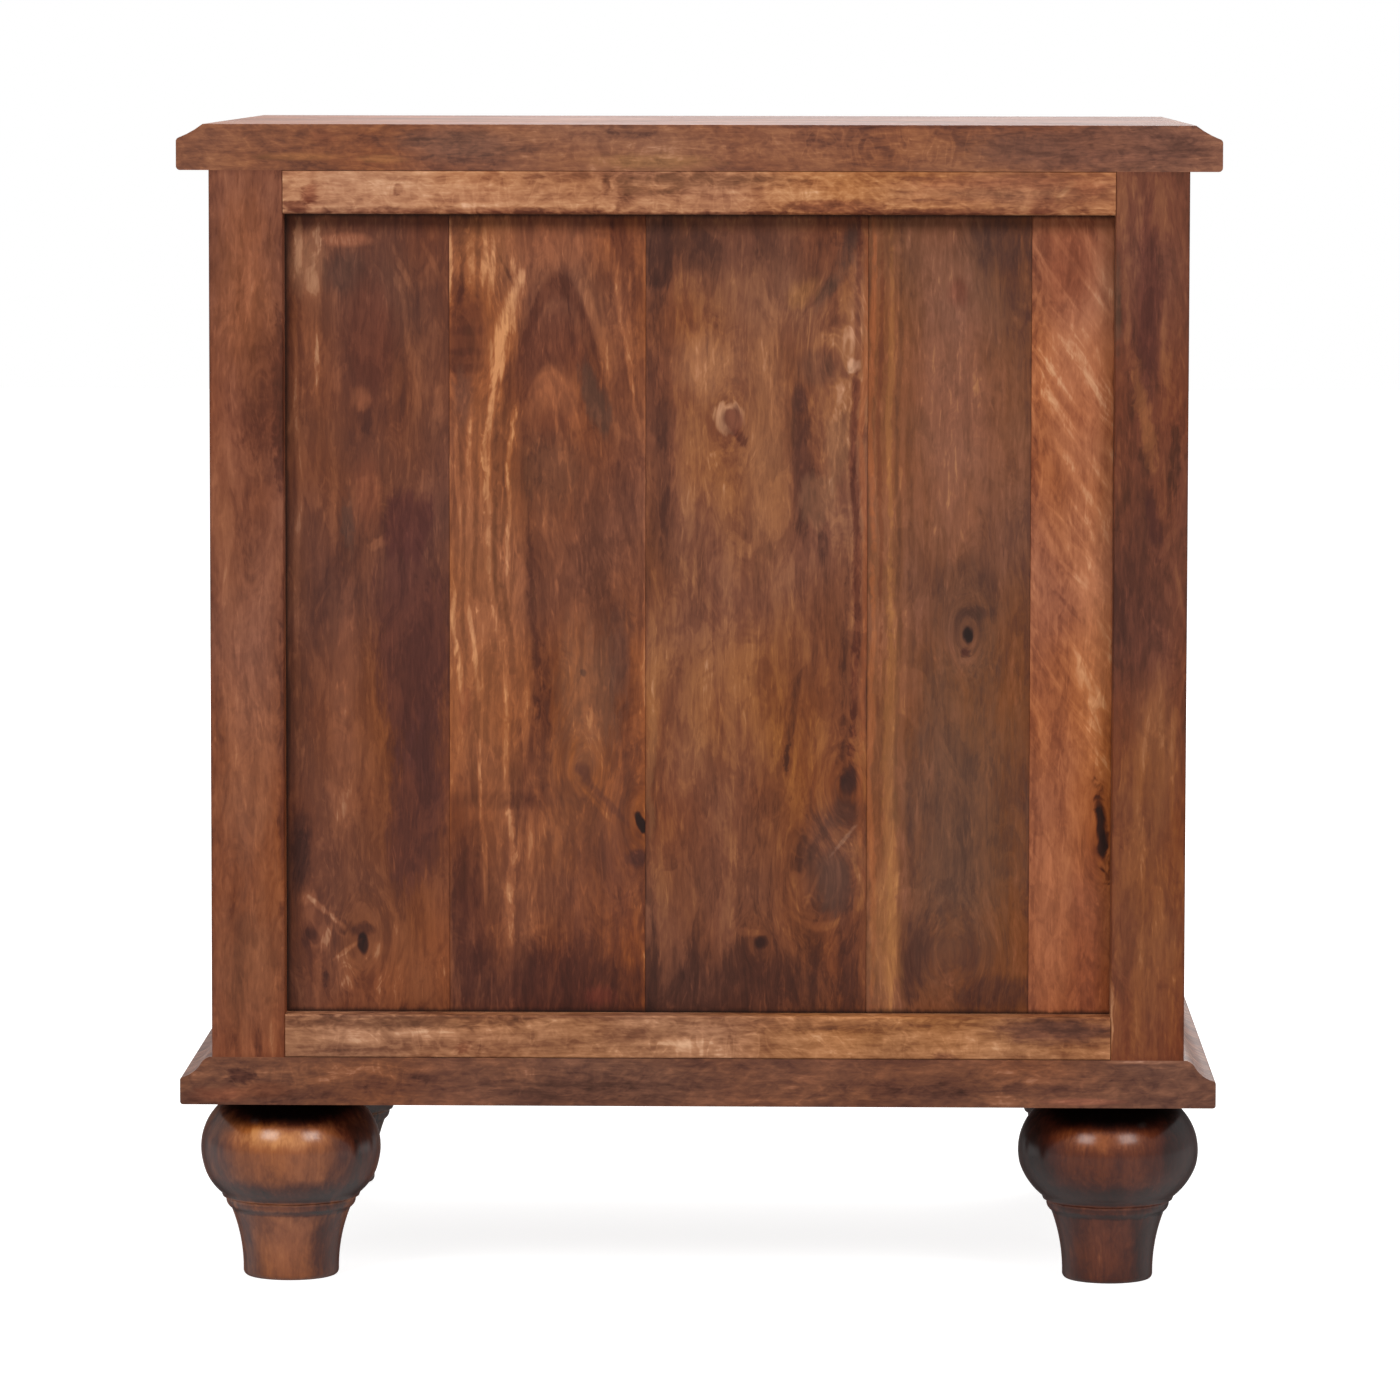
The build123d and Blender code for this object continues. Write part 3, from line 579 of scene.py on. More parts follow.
dress("back_bottom_rail", ("4e2b1c", "7a4b32", "9a6746", "b67f5a", "dcaa84"), grain="X", seed=4.4,
      pith=(0.05, 0.02), taper=0.03, ring=0.005, rings=0.35, streaks=0.6, fibre=0.3, patches=0.1,
      clouds=0.6, mottle=0.45, curl=(0.7, 230, 80, 0.3),
      burls=[(-3, 120.5, 53, 7, 0.15, 85), (123.5, 123.5, 72, 8, 0.1, 100),
             (-134.5, 121.5, 62, 7, 0.08, 100)],
      marks=[
          (147.5, 131, 53, 3.3, -0.17, 0.5, "6e4630", 0.4), (171.5, 122.5, 16, 2.4, 0.1, 0.5),
          (133, 125.5, 14, 1.9, 0.12, 0.5), (150, 117.5, 29, 2.4, -0.1, 0.6),
          (113, 119, 4.3, 2.9, -0.14, 0.5, "86482f", 0.4), (99.5, 116.5, 14, 2.4, -0.09, 0.6),
          (66, 128.5, 19, 4.3, 0.09, 0.6), (52, 118, 19, 3.8, 0.08, 0.6), (4, 118.5, 19, 4.8, 0.12, 0.6),
          (28, 126.5, 7, 3.8, -0.08, 0.5), (-38, 118.5, 29, 4.8, 0.08, 0.6),
          (-48.5, 131, 53, 2.9, -0.15, 0.5, "7a4c34", 0.4), (-137, 121.5, 22, 2.9, 0.1, 0.6),
          (-119, 115, 4.8, 2.4, -0.16, 0.5, "6e4032", 0.4),
          (-170.5, 127.5, 29, 6, -0.2, 0.5, "6a4438", 0.55), (-110.5, 129, 29, 2.9, -0.1, 0.6),
          (-189.5, 116.5, 6, 2.9, 0.12, 0.5), (-0.5, 134, 201, 1.2, -0.12, 0.8)])
side_rails = ("left_side_bottom_rail", "left_side_top_rail",
              "right_side_bottom_rail", "right_side_top_rail")
for number, name in enumerate(side_rails):
    dress(name, ("4e2b1f", "7a4b35", "986246", "b07956", "cc9672"), grain="Y", seed=21.0 + 3.7 * number,
          pith=(0.05, 0.02), taper=0.02, rings=0.4, streaks=0.5, clouds=0.55, mottle=0.3,
          curl=(0.5, 240, 90, 0.25))
front_rails = ("front_bottom_rail", "lower_drawer_divider", "upper_drawer_divider", "front_top_rail")
for number, name in enumerate(front_rails):
    dress(name, ("46261c", "704330", "8c573d", "a66c4b", "c58d68"), grain="X", seed=41.0 + 2.9 * number,
          pith=(0.05, -0.03), taper=0.02, rings=0.4, streaks=0.5, clouds=0.55, mottle=0.3,
          curl=(-0.5, 240, 90, 0.22))


# Back planks. Five upright planks of mixed widths and colours stand in the frame's grooves,
# close against each other, with their knots, sapwood and dark heartwood turned outwards.
# Their opening in the frame has two corners in metres, and the colour of the painted shade in the recess
# round it.
panel_opening = ((-0.2005, 0.19375, 0.1345), (0.199, 0.19375, 0.5202), "170c09")
dress("back_plank_1", ("2a1611", "4c2a20", "683b29", "875137", "c08e6b"), opening=panel_opening, seed=1.3,
      pith=(-0.02, -0.10), taper=0.06, ring=0.007, rings=0.25, streaks=0.32, fibre=0.2, clouds=0.35,
      mottle=0.1, edge=-0.08, edge_reach=0.0012,
      knots=[(162, 169, 11, 16, 0.7, 10), (183, 181, 10, 22, 0.6, -8)],
      burls=[(182, 173.5, 12, 22, 0.14, 100), (169.5, 147, 14, 11, 0.1, 130)],
      marks=[
          (189, 496.5, 8, 12, 0.1, 0.6, "9a694c", 0.5), (192.5, 504.5, 1.9, 11, 0.2, 0.5, "b07c5c", 0.4),
          (183, 508.5, 2.4, 7, 0.18, 0.5), (186, 471, 4.8, 31, 0.13, 0.6),
          (182, 443.5, 1.1, 22, 0.14, 0.5), (193.5, 396, 1.4, 110, 0.12, 0.6),
          (169, 507.5, 11, 2.9, 0.14, 0.5, "94583f", 0.4),
          (170.5, 492, 9, 10, -0.12, 0.5, "573a2f", 0.55),
          (158, 461.5, 13, 26, -0.09, 0.5, "643425", 0.5), (143.5, 495, 1.4, 12, 0.12, 0.5, 0.42),
          (127.5, 496, 1.4, 11, 0.1, 0.5, 0.5), (141, 467.5, 1.4, 19, 0.12, 0.5, 0.14),
          (135.5, 439.5, 4.3, 20, 0.13, 0.6), (125, 430.5, 2.4, 8, 0.14, 0.5),
          (163, 431.5, 4.3, 5, 0.1, 0.5, "90553a", 0.35), (160.5, 421.5, 3.3, 6, -0.13, 0.5),
          (176, 377.5, 2.4, 23, 0.11, 0.5), (169, 371, 3.3, 12, -0.08, 0.5, "5c4034", 0.4),
          (160, 385.5, 6, 16, 0.09, 0.6, "8a4c34", 0.3), (154, 361.5, 3.8, 2.9, 0.16, 0.5, -0.8),
          (139.5, 370, 12, 17, -0.14, 0.25, "552a25", 0.5),
          (137.5, 314, 18, 54, -0.17, 0.3, "502b25", 0.6), (169.5, 347.5, 12, 43, -0.09, 0.7),
          (135.5, 233.5, 13, 40, -0.12, 0.35, -0.06, "532e28", 0.55),
          (171.5, 304, 7, 33, 0.05, 0.7, "8b5640", 0.3), (179, 256, 12, 43, 0.09, 0.7),
          (192.5, 212.5, 4.3, 19, -0.16, 0.6, "37201c", 0.45), (180.5, 183.5, 2.2, 6, 0.2, 0.5, 1.1),
          (189.5, 189.5, 3.8, 3.3, 0.12, 0.5), (179, 171, 2.4, 6, 0.17, 0.5, -0.3),
          (170.5, 164, 1.7, 4.3, 0.16, 0.5, -1.3), (156.5, 165, 5, 3.3, 0.09, 0.6),
          (188, 171.5, 3.8, 5, -0.2, 0.5), (162, 167.5, 2.2, 4.3, -0.42, 0.4, 0.1, "1a0f0e", 0.5),
          (164, 174.5, 6, 2.9, -0.2, 0.5), (184.5, 149.5, 1.9, 11, 0.12, 0.6),
          (170.5, 153, 4.8, 7, 0.12, 0.5), (180.5, 151.5, 1.9, 4.3, -0.22, 0.5),
          (155, 150.5, 1.9, 12, 0.12, 0.5), (166, 194, 2.4, 9, 0.08, 0.5, 0.1),
          (145, 147, 2.4, 11, 0.1, 0.5), (143, 158, 24, 19, 0.1, 0.7)])
dress("back_plank_2", ("27130f", "4f291d", "713f29", "955837", "cf9163"), opening=panel_opening, seed=2.9,
      pith=(-0.004, -0.05), taper=0.11, waver=0.014, rings=0.42, streaks=0.38, fibre=0.24, flecks=0.12,
      clouds=0.3, edge=0.1, edge_reach=0.002,
      knots=[(112.5, 460, 12, 19, 0.5, -8), (56, 253, 8, 13, 0.7, 8), (27.5, 227, 10, 16, 0.7, 10)],
      burls=[(52, 255, 11, 16, 0.07, 100), (33, 193, 10, 24, 0.09, 110),
             (103.5, 497.5, 12, 16, 0.05, 110)],
      marks=[
          (102.5, 333, 17, 110, 0.07, 0.6, "a3633a", 0.3),
          (102.5, 502.5, 15, 17, 0.08, 0.6, "a3633a", 0.3), (71, 505, 19, 11, 0.05, 0.6, "95573a", 0.3),
          (112, 461.5, 10, 21, -0.09, 0.5, "5f3222", 0.45), (111.5, 464, 8, 2.4, -0.14, 0.5),
          (112.5, 454, 9, 1.9, -0.1, 0.5), (112.5, 446, 8, 2.4, -0.13, 0.5),
          (113.5, 432.5, 4.3, 11, -0.07, 0.6, "6e4636", 0.5), (119.5, 497.5, 1, 19, 0.21, 0.5),
          (109.5, 502.5, 1.9, 14, 0.16, 0.5), (102.5, 505, 1.4, 17, 0.18, 0.5),
          (105.5, 496.5, 1, 19, -0.13, 0.5), (113.5, 492, 1.4, 19, -0.13, 0.5),
          (99, 489, 1.4, 16, 0.16, 0.5, -0.05), (92.5, 493, 0.9, 7, -0.18, 0.5, 0.45),
          (85, 490, 1.7, 3.8, 0.16, 0.5), (91, 475.5, 4.3, 16, 0.26, 0.7, -0.22),
          (94.5, 454, 4.8, 12, 0.29, 0.6, -0.16), (97.5, 432, 3.8, 16, 0.29, 0.6, -0.14),
          (101, 410.5, 2.4, 24, 0.21, 0.6, -0.08), (101.5, 372, 1.9, 38, 0.2, 0.6, 0.04),
          (96, 314, 1.4, 33, 0.14, 0.6, 0.1), (91.5, 253.5, 1.4, 38, 0.14, 0.6, 0.06),
          (98, 410.5, 1.7, 26, -0.18, 0.5, -0.05), (98, 360, 1.4, 29, -0.16, 0.5, 0.06),
          (94, 376.5, 1, 24, -0.18, 0.5), (90.5, 408, 1.4, 19, 0.23, 0.5, -0.15),
          (92, 369.5, 1.4, 29, 0.21, 0.5, 0.03), (92, 318.5, 1.2, 29, -0.16, 0.5, 0.05),
          (80, 328.5, 1.9, 43, -0.13, 0.6, 0.03), (75, 265.5, 2.4, 29, -0.12, 0.6),
          (116.5, 396, 1.2, 27, 0.18, 0.5, 0.04), (110.5, 401, 1.4, 24, 0.16, 0.5),
          (105, 396, 1, 29, 0.13, 0.5), (118, 326, 1.2, 19, 0.21, 0.5),
          (115.5, 297, 1.4, 16, 0.18, 0.5, 0.08), (109, 314, 1.1, 24, 0.2, 0.5, 0.08),
          (105, 260.5, 0.9, 38, 0.15, 0.5), (83.5, 277.5, 1.4, 17, 0.16, 0.5),
          (112.5, 265.5, 1.9, 21, 0.1, 0.5, 0.1), (113.5, 352.5, 1, 29, -0.13, 0.5),
          (107.5, 362, 1, 33, -0.13, 0.5), (112.5, 284, 2.4, 11, -0.13, 0.5, "8a4a30", 0.4),
          (67.5, 486, 20, 6, -0.13, 0.5, 0, 0, 102, "5f3120", 0.4),
          (70, 460, 16, 13, -0.08, 0.6, 0, 0, 54, "643526", 0.4),
          (70, 436, 11, 11, 0.09, 0.6, 0, 0, 73, "a2613f", 0.35),
          (72, 445.5, 15, 2.4, 0.12, 0.7, 0, 0, 127), (72, 396, 14, 17, -0.1, 0.6, "63402e", 0.4),
          (71, 378.5, 6, 12, 0.06, 0.7), (51.5, 471.5, 2.9, 16, 0.08, 0.5, 0.38),
          (48.5, 429, 6, 15, -0.12, 0.4, 0.3, "5e3f30", 0.6), (37.5, 478.5, 1.4, 21, 0.1, 0.5, 0.05),
          (34, 454, 1.2, 21, 0.12, 0.5, 0.15), (29.5, 420.5, 1.2, 19, 0.1, 0.5, 0.15),
          (41.5, 493, 1, 24, -0.1, 0.5, 0.04), (31, 483, 1.4, 29, -0.08, 0.5, 0.03),
          (37.5, 478.5, 11, 32, 0.05, 0.7), (52, 352.5, 24, 38, -0.05, 0.7, "6f422e", 0.4),
          (53, 289.5, 14, 30, 0.05, 0.6, "805640", 0.5), (37.5, 306.5, 5, 27, -0.08, 0.6, "5f3d30", 0.5),
          (52, 236.5, 22, 38, 0, 0.7, "744936", 0.45), (47, 190.5, 21, 29, -0.04, 0.7, "65392b", 0.5),
          (29.5, 270.5, 4.3, 32, 0.11, 0.6), (91, 237.5, 32, 3.8, -0.1, 0.6),
          (66, 244.5, 11, 2.9, -0.07, 0.6, -0.6), (109.5, 185.5, 9, 40, -0.1, 0.55, "52291f", 0.4),
          (103.5, 212.5, 1.1, 29, 0.17, 0.5, 0.03), (90, 200, 2.2, 33, 0.18, 0.5),
          (80.5, 214.5, 1.4, 16, 0.1, 0.5), (68.5, 144.5, 50, 21, -0.18, 0.6, "46251d", 0.5),
          (48.5, 142.5, 7, 4.3, 0.06, 0.6, "6e3226", 0.5), (55.5, 299.5, 1.4, 1.7, -0.42, 0.4),
          (55.5, 252, 2.4, 2.9, -0.2, 0.5, 0.3, "5a3226", 0.5),
          (44.5, 237.5, 2.4, 13, -0.13, 0.5, 0.9, "5a3226", 0.3), (48.5, 235, 1.2, 9, 0.13, 0.5, 0.85),
          (27, 226, 2.2, 6, -0.6, 0.4, 0.6, "120a09", 0.7), (29, 210, 5, 3.8, -0.16, 0.5, "4a2a24", 0.5),
          (30, 186, 1.9, 10, 0.1, 0.5), (26, 173.5, 1.4, 12, -0.14, 0.5)])
dress("back_plank_3", ("271511", "4d2b1f", "75442e", "96603d", "c8926f"), opening=panel_opening, seed=4.1,
      pith=(0.01, -0.07), taper=0.10, ring=0.007, waver=0.014, rings=0.25, streaks=0.34, fibre=0.22,
      clouds=0.33, mottle=0.12, edge=-0.06, edge_reach=0.0012,
      knots=[(-15, 421.5, 8, 13, 0.5, 9), (-70, 456.5, 11, 21, 0.6, 10), (-71.5, 241.5, 10, 16, 0.7, 10),
             (-56, 201.5, 14, 24, 0.6, -10), (-30.5, 169, 7, 10, 0.6, 6)],
      burls=[(-68, 454, 13, 22, 0.13, 105), (-64, 396, 11, 43, 0.08, 95), (-58, 207.5, 16, 29, 0.11, 95),
             (-4.5, 454, 16, 29, 0.06, 130)],
      marks=[
          (20, 496.5, 6, 21, -0.13, 0.5, "42251d", 0.3), (16.5, 418, 5, 72, -0.08, 0.7),
          (-6.5, 504.5, 32, 12, -0.1, 0.65, "4a2b22", 0.3), (-9.5, 430, 22, 57, 0.1, 0.8),
          (-4.5, 447, 14, 14, 0.06, 0.7, "a77556", 0.3),
          (-33.5, 415.5, 10, 62, 0.11, 0.6, "8f5e40", 0.35),
          (-14, 423, 6, 7, 0.2, 0.25, 0.1, "bf8d6d", 0.55),
          (-16, 421.5, 4.3, 6, -0.3, 0.3, 0.1, "643021", 0.8),
          (-19.5, 413.5, 2.4, 4.3, -0.2, 0.45, 0.5, "5c2c20", 0.4),
          (-71.5, 504.5, 3.8, 10, -0.13, 0.6, -0.3, "4f352b", 0.5),
          (-64, 486, 4.3, 11, -0.09, 0.6, -0.7, "5a3e30", 0.5),
          (-49.5, 482, 6, 6, 0.1, 0.6, -0.5, "986337", 0.4),
          (-76.5, 478.5, 4.3, 20, 0.06, 0.6, "8e5d48", 0.4),
          (-57, 446.5, 11, 8, -0.08, 0.5, "664130", 0.5), (-48.5, 431, 3.8, 7, -0.17, 0.5, "553228", 0.5),
          (-61, 461, 6, 4.3, 0.13, 0.4, 0, 0, 174), (-72.5, 457.5, 4.8, 7, 0.12, 0.4),
          (-72.5, 456, 2.4, 3.8, -0.14, 0.4), (-74, 447.5, 3.3, 2.9, 0.22, 0.4, "b58a6e", 0.5),
          (-67.5, 433, 4.3, 7, 0.13, 0.4), (-67, 410.5, 5, 17, 0.05, 0.5, "84593f", 0.5),
          (-49.5, 401, 5, 22, -0.17, 0.5, "5a3428", 0.5), (-57, 383, 7, 11, 0.06, 0.4, "80563f", 0.5),
          (-63.5, 389, 1.2, 4.8, 0.16, 0.5), (-49, 370.5, 3.3, 6, -0.1, 0.6),
          (-60.5, 361.5, 2.9, 11, -0.07, 0.6), (-75.5, 381.5, 1.7, 134, -0.14, 0.5, "5f2c1e", 0.4),
          (-73, 372, 1, 139, 0.07, 0.6), (-79.5, 372, 1.4, 144, 0.03, 0.6, "93502f", 0.5),
          (-10.5, 314, 19, 53, 0.05, 0.7), (21.5, 256, 1.7, 38, 0.06, 0.5, "946442", 0.3),
          (-72.5, 289.5, 2.9, 43, -0.1, 0.6), (-42.5, 258, 1.4, 7, -0.2, 0.5, -0.1),
          (-47, 265.5, 1.4, 24, 0.1, 0.5, -0.1), (-72.5, 246, 4.3, 8, -0.26, 0.5, -0.15, "38231e", 0.5),
          (-70, 232, 8, 7, -0.15, 0.5, -0.4, "432820", 0.4),
          (-65, 212.5, 12, 24, -0.04, 0.6, "6b4536", 0.5), (-66, 197, 7, 13, -0.07, 0.5, "5a4036", 0.45),
          (-71, 219.5, 1.1, 6, 0.11, 0.5, -0.8, "9a7562", 0.3), (-56.5, 197.5, 1.1, 8, 0.12, 0.5, -0.4),
          (-76, 205.5, 1.2, 6, 0.14, 0.5, 0.35), (-59, 176.5, 14, 2.2, 0.1, 0.5, 0, 0, -33),
          (-59, 220, 1.9, 9, -0.14, 0.5, -0.5), (-48.5, 209.5, 4.3, 10, -0.1, 0.5, -0.3),
          (-30.5, 169, 2.9, 2.9, -0.28, 0.45, "331a14", 0.5), (-25.5, 173.5, 6, 1.9, 0.12, 0.5, 0.2),
          (-20, 143.5, 53, 20, -0.17, 0.65, "4a2a20", 0.4),
          (-73.5, 166.5, 6, 29, -0.13, 0.6, "4e2c22", 0.4), (22.5, 153, 3.8, 24, -0.13, 0.6)])
dress("back_plank_4", ("2a1711", "522f23", "6e4129", "865238", "b57d4c"), opening=panel_opening, seed=6.3,
      pith=(-0.03, -0.12), ring=0.008, rings=0.25, streaks=0.36, fibre=0.24, clouds=0.35, mottle=0.12,
      stain=1.2, edge=-0.06, edge_reach=0.0012,
      knots=[(-129.5, 319, 7, 12, 0.75, 12), (-123, 164, 16, 14, 0.5, -8)],
      burls=[(-134, 314, 13, 19, 0.08, 110), (-125, 420.5, 19, 43, 0.07, 120)],
      marks=[
          (-90, 333, 9, 211, 0.04, 0.4, "8c5432", 0.35), (-83, 439.5, 1.4, 91, 0.04, 0.5, "a05a34", 0.5),
          (-83.5, 246, 1.6, 115, 0.07, 0.5, "a45e34", 0.4),
          (-87, 420.5, 1.1, 110, -0.13, 0.5, "6a3422", 0.4), (-89, 231.5, 1.1, 100, -0.08, 0.5),
          (-92, 430, 1.4, 100, 0.08, 0.5, "a46c3a", 0.35),
          (-93, 241.5, 2.9, 110, 0.1, 0.5, "a66c3a", 0.35),
          (-96, 362, 1.1, 158, -0.09, 0.6, "5f3a28", 0.4), (-95, 464, 1.2, 53, 0.1, 0.5),
          (-99, 314, 1.2, 182, 0.07, 0.6), (-102, 352.5, 1.4, 163, -0.06, 0.6),
          (-90.5, 166.5, 7, 32, 0.08, 0.5, "a06a3e", 0.4),
          (-143.5, 506.5, 18, 12, -0.14, 0.6, "4a3229", 0.4),
          (-124.5, 483.5, 3.8, 6, -0.06, 0.6, "6c3425", 0.5), (-150, 473.5, 7, 29, -0.08, 0.6),
          (-125, 420.5, 22, 53, 0.05, 0.7, "83594a", 0.3),
          (-127.5, 236.5, 25, 72, -0.02, 0.7, "64493b", 0.5),
          (-129, 335, 15, 19, -0.1, 0.65, "503528", 0.4),
          (-129.5, 319, 2.6, 5, -0.6, 0.35, 0.05, "130b0b", 0.75),
          (-132, 328.5, 7, 2.9, -0.12, 0.5, -0.4), (-128.5, 310, 2.6, 2.4, -0.26, 0.45, "4a2016", 0.5),
          (-105, 161.5, 7, 19, -0.14, 0.55, -0.2, "4a2b20", 0.3),
          (-144.5, 144.5, 18, 8, -0.17, 0.6, "48281e", 0.4), (-124, 147.5, 10, 9, 0.06, 0.5, -1),
          (-158, 323.5, 1.9, 191, -0.06, 0.6), (-113, 314, 1.4, 105, 0.05, 0.6),
          (-146.5, 352.5, 1.4, 96, 0.05, 0.6)])
dress("back_plank_5", ("331a14", "733d28", "975839", "b06d48", "d09a72"), opening=panel_opening, seed=7.7,
      pith=(0.05, -0.10), taper=0.02, ring=0.009, rings=0.2, streaks=0.2, fibre=0.15, clouds=0.45,
      mottle=0.25, curl=(-0.56, 130, 24, 0.72), curl_from=0.25, edge=-0.06, edge_reach=0.0012,
      knots=[(-195, 224, 8, 21, 0.5, 8)],
      burls=[(-173, 464, 14, 43, 0.05, 150)],
      marks=[
          (-177, 500, 18, 18, -0.1, 0.6, "84452c", 0.3), (-177, 415.5, 17, 77, 0.08, 0.8),
          (-191.5, 314, 8, 48, 0.12, 0.6, "bb764e", 0.4), (-163.5, 439.5, 3.3, 53, -0.07, 0.6),
          (-177, 490.5, 10, 20, -0.09, 0.6, "8a4a30", 0.4), (-189.5, 499.5, 2.9, 11, 0.09, 0.6, 0.5),
          (-174, 426, 2.2, 10, 0.1, 0.5, 0.75), (-175, 406, 2.4, 8, 0.12, 0.5, 0.8),
          (-190.5, 436, 1.4, 11, 0.15, 0.5, 0.5), (-188, 381, 1.9, 18, 0.14, 0.5, 0.58),
          (-192.5, 397, 2.2, 9, 0.14, 0.5, 0.55), (-170, 361.5, 2.2, 8, 0.14, 0.5, 0.5),
          (-179.5, 348.5, 1.4, 7, 0.12, 0.5, 1), (-179, 331, 1.7, 7, -0.12, 0.5, 0.9),
          (-178, 447, 16, 16, 0.05, 0.7), (-170.5, 173.5, 10, 43, 0.05, 0.5, "9c5b3a", 0.4),
          (-187.5, 176, 8, 48, -0.05, 0.5, "86482f", 0.5),
          (-194.5, 224, 2.6, 19, -0.4, 0.45, 0.1, "1a0e0b", 0.6), (-191.5, 212.5, 3.8, 14, -0.1, 0.6),
          (-185.5, 251, 7, 14, -0.06, 0.6, 0.4), (-161.5, 323.5, 1.4, 191, -0.07, 0.6)])


# Side panels. Each side has a panel of upright staves glued edge to edge, let into grooves in
# the posts and the side rails.
for number, name in enumerate(("left_side_panel", "right_side_panel")):
    dress(name, ("33201b", "613a2b", "7c4c35", "996140", "c69065"), grain="Z sideways",
          seed=60.0 + 7 * number, pith=(0.0, 0.03), taper=0.10, ring=0.007, waver=0.014, streaks=0.5,
          clouds=0.4, mottle=0.12, staves=0.085)


# Top and plinth. Each board is moulded at its front and sides with a shaped cutter and left
# plain at the back. Screws hold the top down to the rails, and the plinth up to posts and rails.
def mesh_piece(name, points, faces, sharp):
    """A piece from corner points and faces, shaded smooth, with the edges that turn by more
    than so many degrees kept crisp."""
    mesh = bpy.data.meshes.new(name)
    mesh.from_pydata(points.tolist(), [], faces)
    mesh.update()
    mesh.shade_smooth()
    mesh.set_sharp_from_angle(angle=np.radians(sharp))
    piece = bpy.data.objects.new(name, mesh)
    bpy.context.scene.collection.objects.link(piece)
    return piece


def smoothed(name):
    """A copy of the frame's board with its loose triangles joined, so that light runs evenly
    over the moulded edge. Points that agree to a ten-millionth of a metre become one, and
    triangles that this closes up are left out."""
    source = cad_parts[name].data
    corners = np.empty(len(source.vertices) * 3)
    source.vertices.foreach_get("co", corners)
    faces = np.empty(len(source.loops), dtype=int)
    source.loops.foreach_get("vertex_index", faces)
    points, kept = np.unique(np.round(corners.reshape(-1, 3), 7), axis=0, return_inverse=True)
    a, b, c = kept.reshape(-1)[faces].reshape(-1, 3).T
    whole = (a != b) & (b != c) & (c != a)
    return mesh_piece(name + "_surface", points, np.stack([a, b, c], axis=-1)[whole].tolist(), sharp=32)


top_board = smoothed("top_board")
top_board.data.materials.append(timber(
    "top board", ("39201a", "603b2e", "7d4e39", "936044", "b98466"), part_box("top_board"), grain="X",
    seed=9.1, rough=0.6, pith=(0.0, 0.03), taper=0.03, ring=0.007, waver=0.012, rings=0.4, streaks=0.5,
    fibre=0.3, clouds=0.48, mottle=0.48, curl=(0.7, 260, 110, 0.25),
    burls=[(-96.5, 552.5, 86, 9, 0.14, 125), (142.5, 551.5, 57, 9, 0.07, 100),
           (47, 551.5, 48, 9, 0.07, 110)],
    marks=[
        (190.5, 547.5, 19, 1.7, 0.12, 0.6, "a06a3e", 0.3),
        (178.5, 557, 6, 3.8, -0.12, 0.5, "7a4630", 0.4), (118.5, 553.5, 29, 7, -0.09, 0.6, "6a4a3c", 0.5),
        (152, 546.5, 12, 1.9, 0.1, 0.5, "9a6a40", 0.3), (133, 557, 4.8, 3.8, -0.1, 0.5),
        (66, 556.5, 19, 3.8, 0.05, 0.6), (47, 558, 19, 1.9, -0.1, 0.6),
        (23, 545.5, 24, 3.3, 0.06, 0.6, "9a7040", 0.3), (21, 559, 14, 2.4, -0.08, 0.6),
        (-29.5, 549, 19, 2.9, 0.05, 0.6), (-153.5, 551.5, 24, 7, -0.07, 0.7, "704c3a", 0.4),
        (-192, 552.5, 53, 11, -0.15, 0.6, "6c4639", 0.55), (-201.5, 547.5, 33, 3.8, -0.1, 0.6),
        (-196.5, 554.5, 19, 2.9, 0.06, 0.5), (-230, 554, 19, 10, -0.08, 0.7),
        (-96.5, 562.5, 158, 1, -0.12, 0.8)]))
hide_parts("top_board")
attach(top_board, "carcass")

plinth_board = smoothed("plinth_board")
plinth_board.data.materials.append(timber(
    "plinth board", ("351d17", "5b382c", "704735", "8a5941", "b98469"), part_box("plinth_board"), grain="X",
    seed=12.4, pith=(0.0, 0.03), waver=0.012, rings=0.45, streaks=0.5, fibre=0.3, patches=0.12,
    mottle=0.55, curl=(-0.6, 230, 60, 0.25),
    burls=[(171.5, 106, 62, 7, 0.1, 100), (66, 105, 38, 4.8, 0.08, 110)],
    marks=[
        (220.5, 104.5, 7, 2.9, -0.24, 0.5, "3c1c16", 0.5), (166.5, 109.5, 57, 3.8, 0.1, 0.6),
        (231, 95.5, 11, 3.3, 0.05, 0.6, "8c4c34", 0.4), (208.5, 97.5, 11, 3.8, -0.09, 0.5, "6e3c26", 0.4),
        (128.5, 108, 11, 1.7, 0.12, 0.5), (176, 103, 14, 1.4, 0.1, 0.5),
        (147.5, 98.5, 14, 2.4, -0.08, 0.6), (47, 99.5, 45, 6, -0.12, 0.55, "5e3c2e", 0.4),
        (89, 107, 2.4, 4.8, 0.12, 0.5, 0.8), (80.5, 104, 2.4, 4.8, 0.12, 0.5, 0.8),
        (-63, 102, 29, 1.2, -0.06, 0.6, -0.3), (-82, 105, 29, 1.2, 0.06, 0.6, -0.3),
        (-113, 109, 24, 2.4, 0.07, 0.6), (-149, 98.5, 43, 2.9, -0.07, 0.7),
        (-187, 93.5, 19, 1.4, 0.1, 0.5, "8c5040", 0.4), (-214.5, 113, 16, 0.9, 0.34, 0.5)]))
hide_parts("plinth_board")
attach(plinth_board, "carcass")


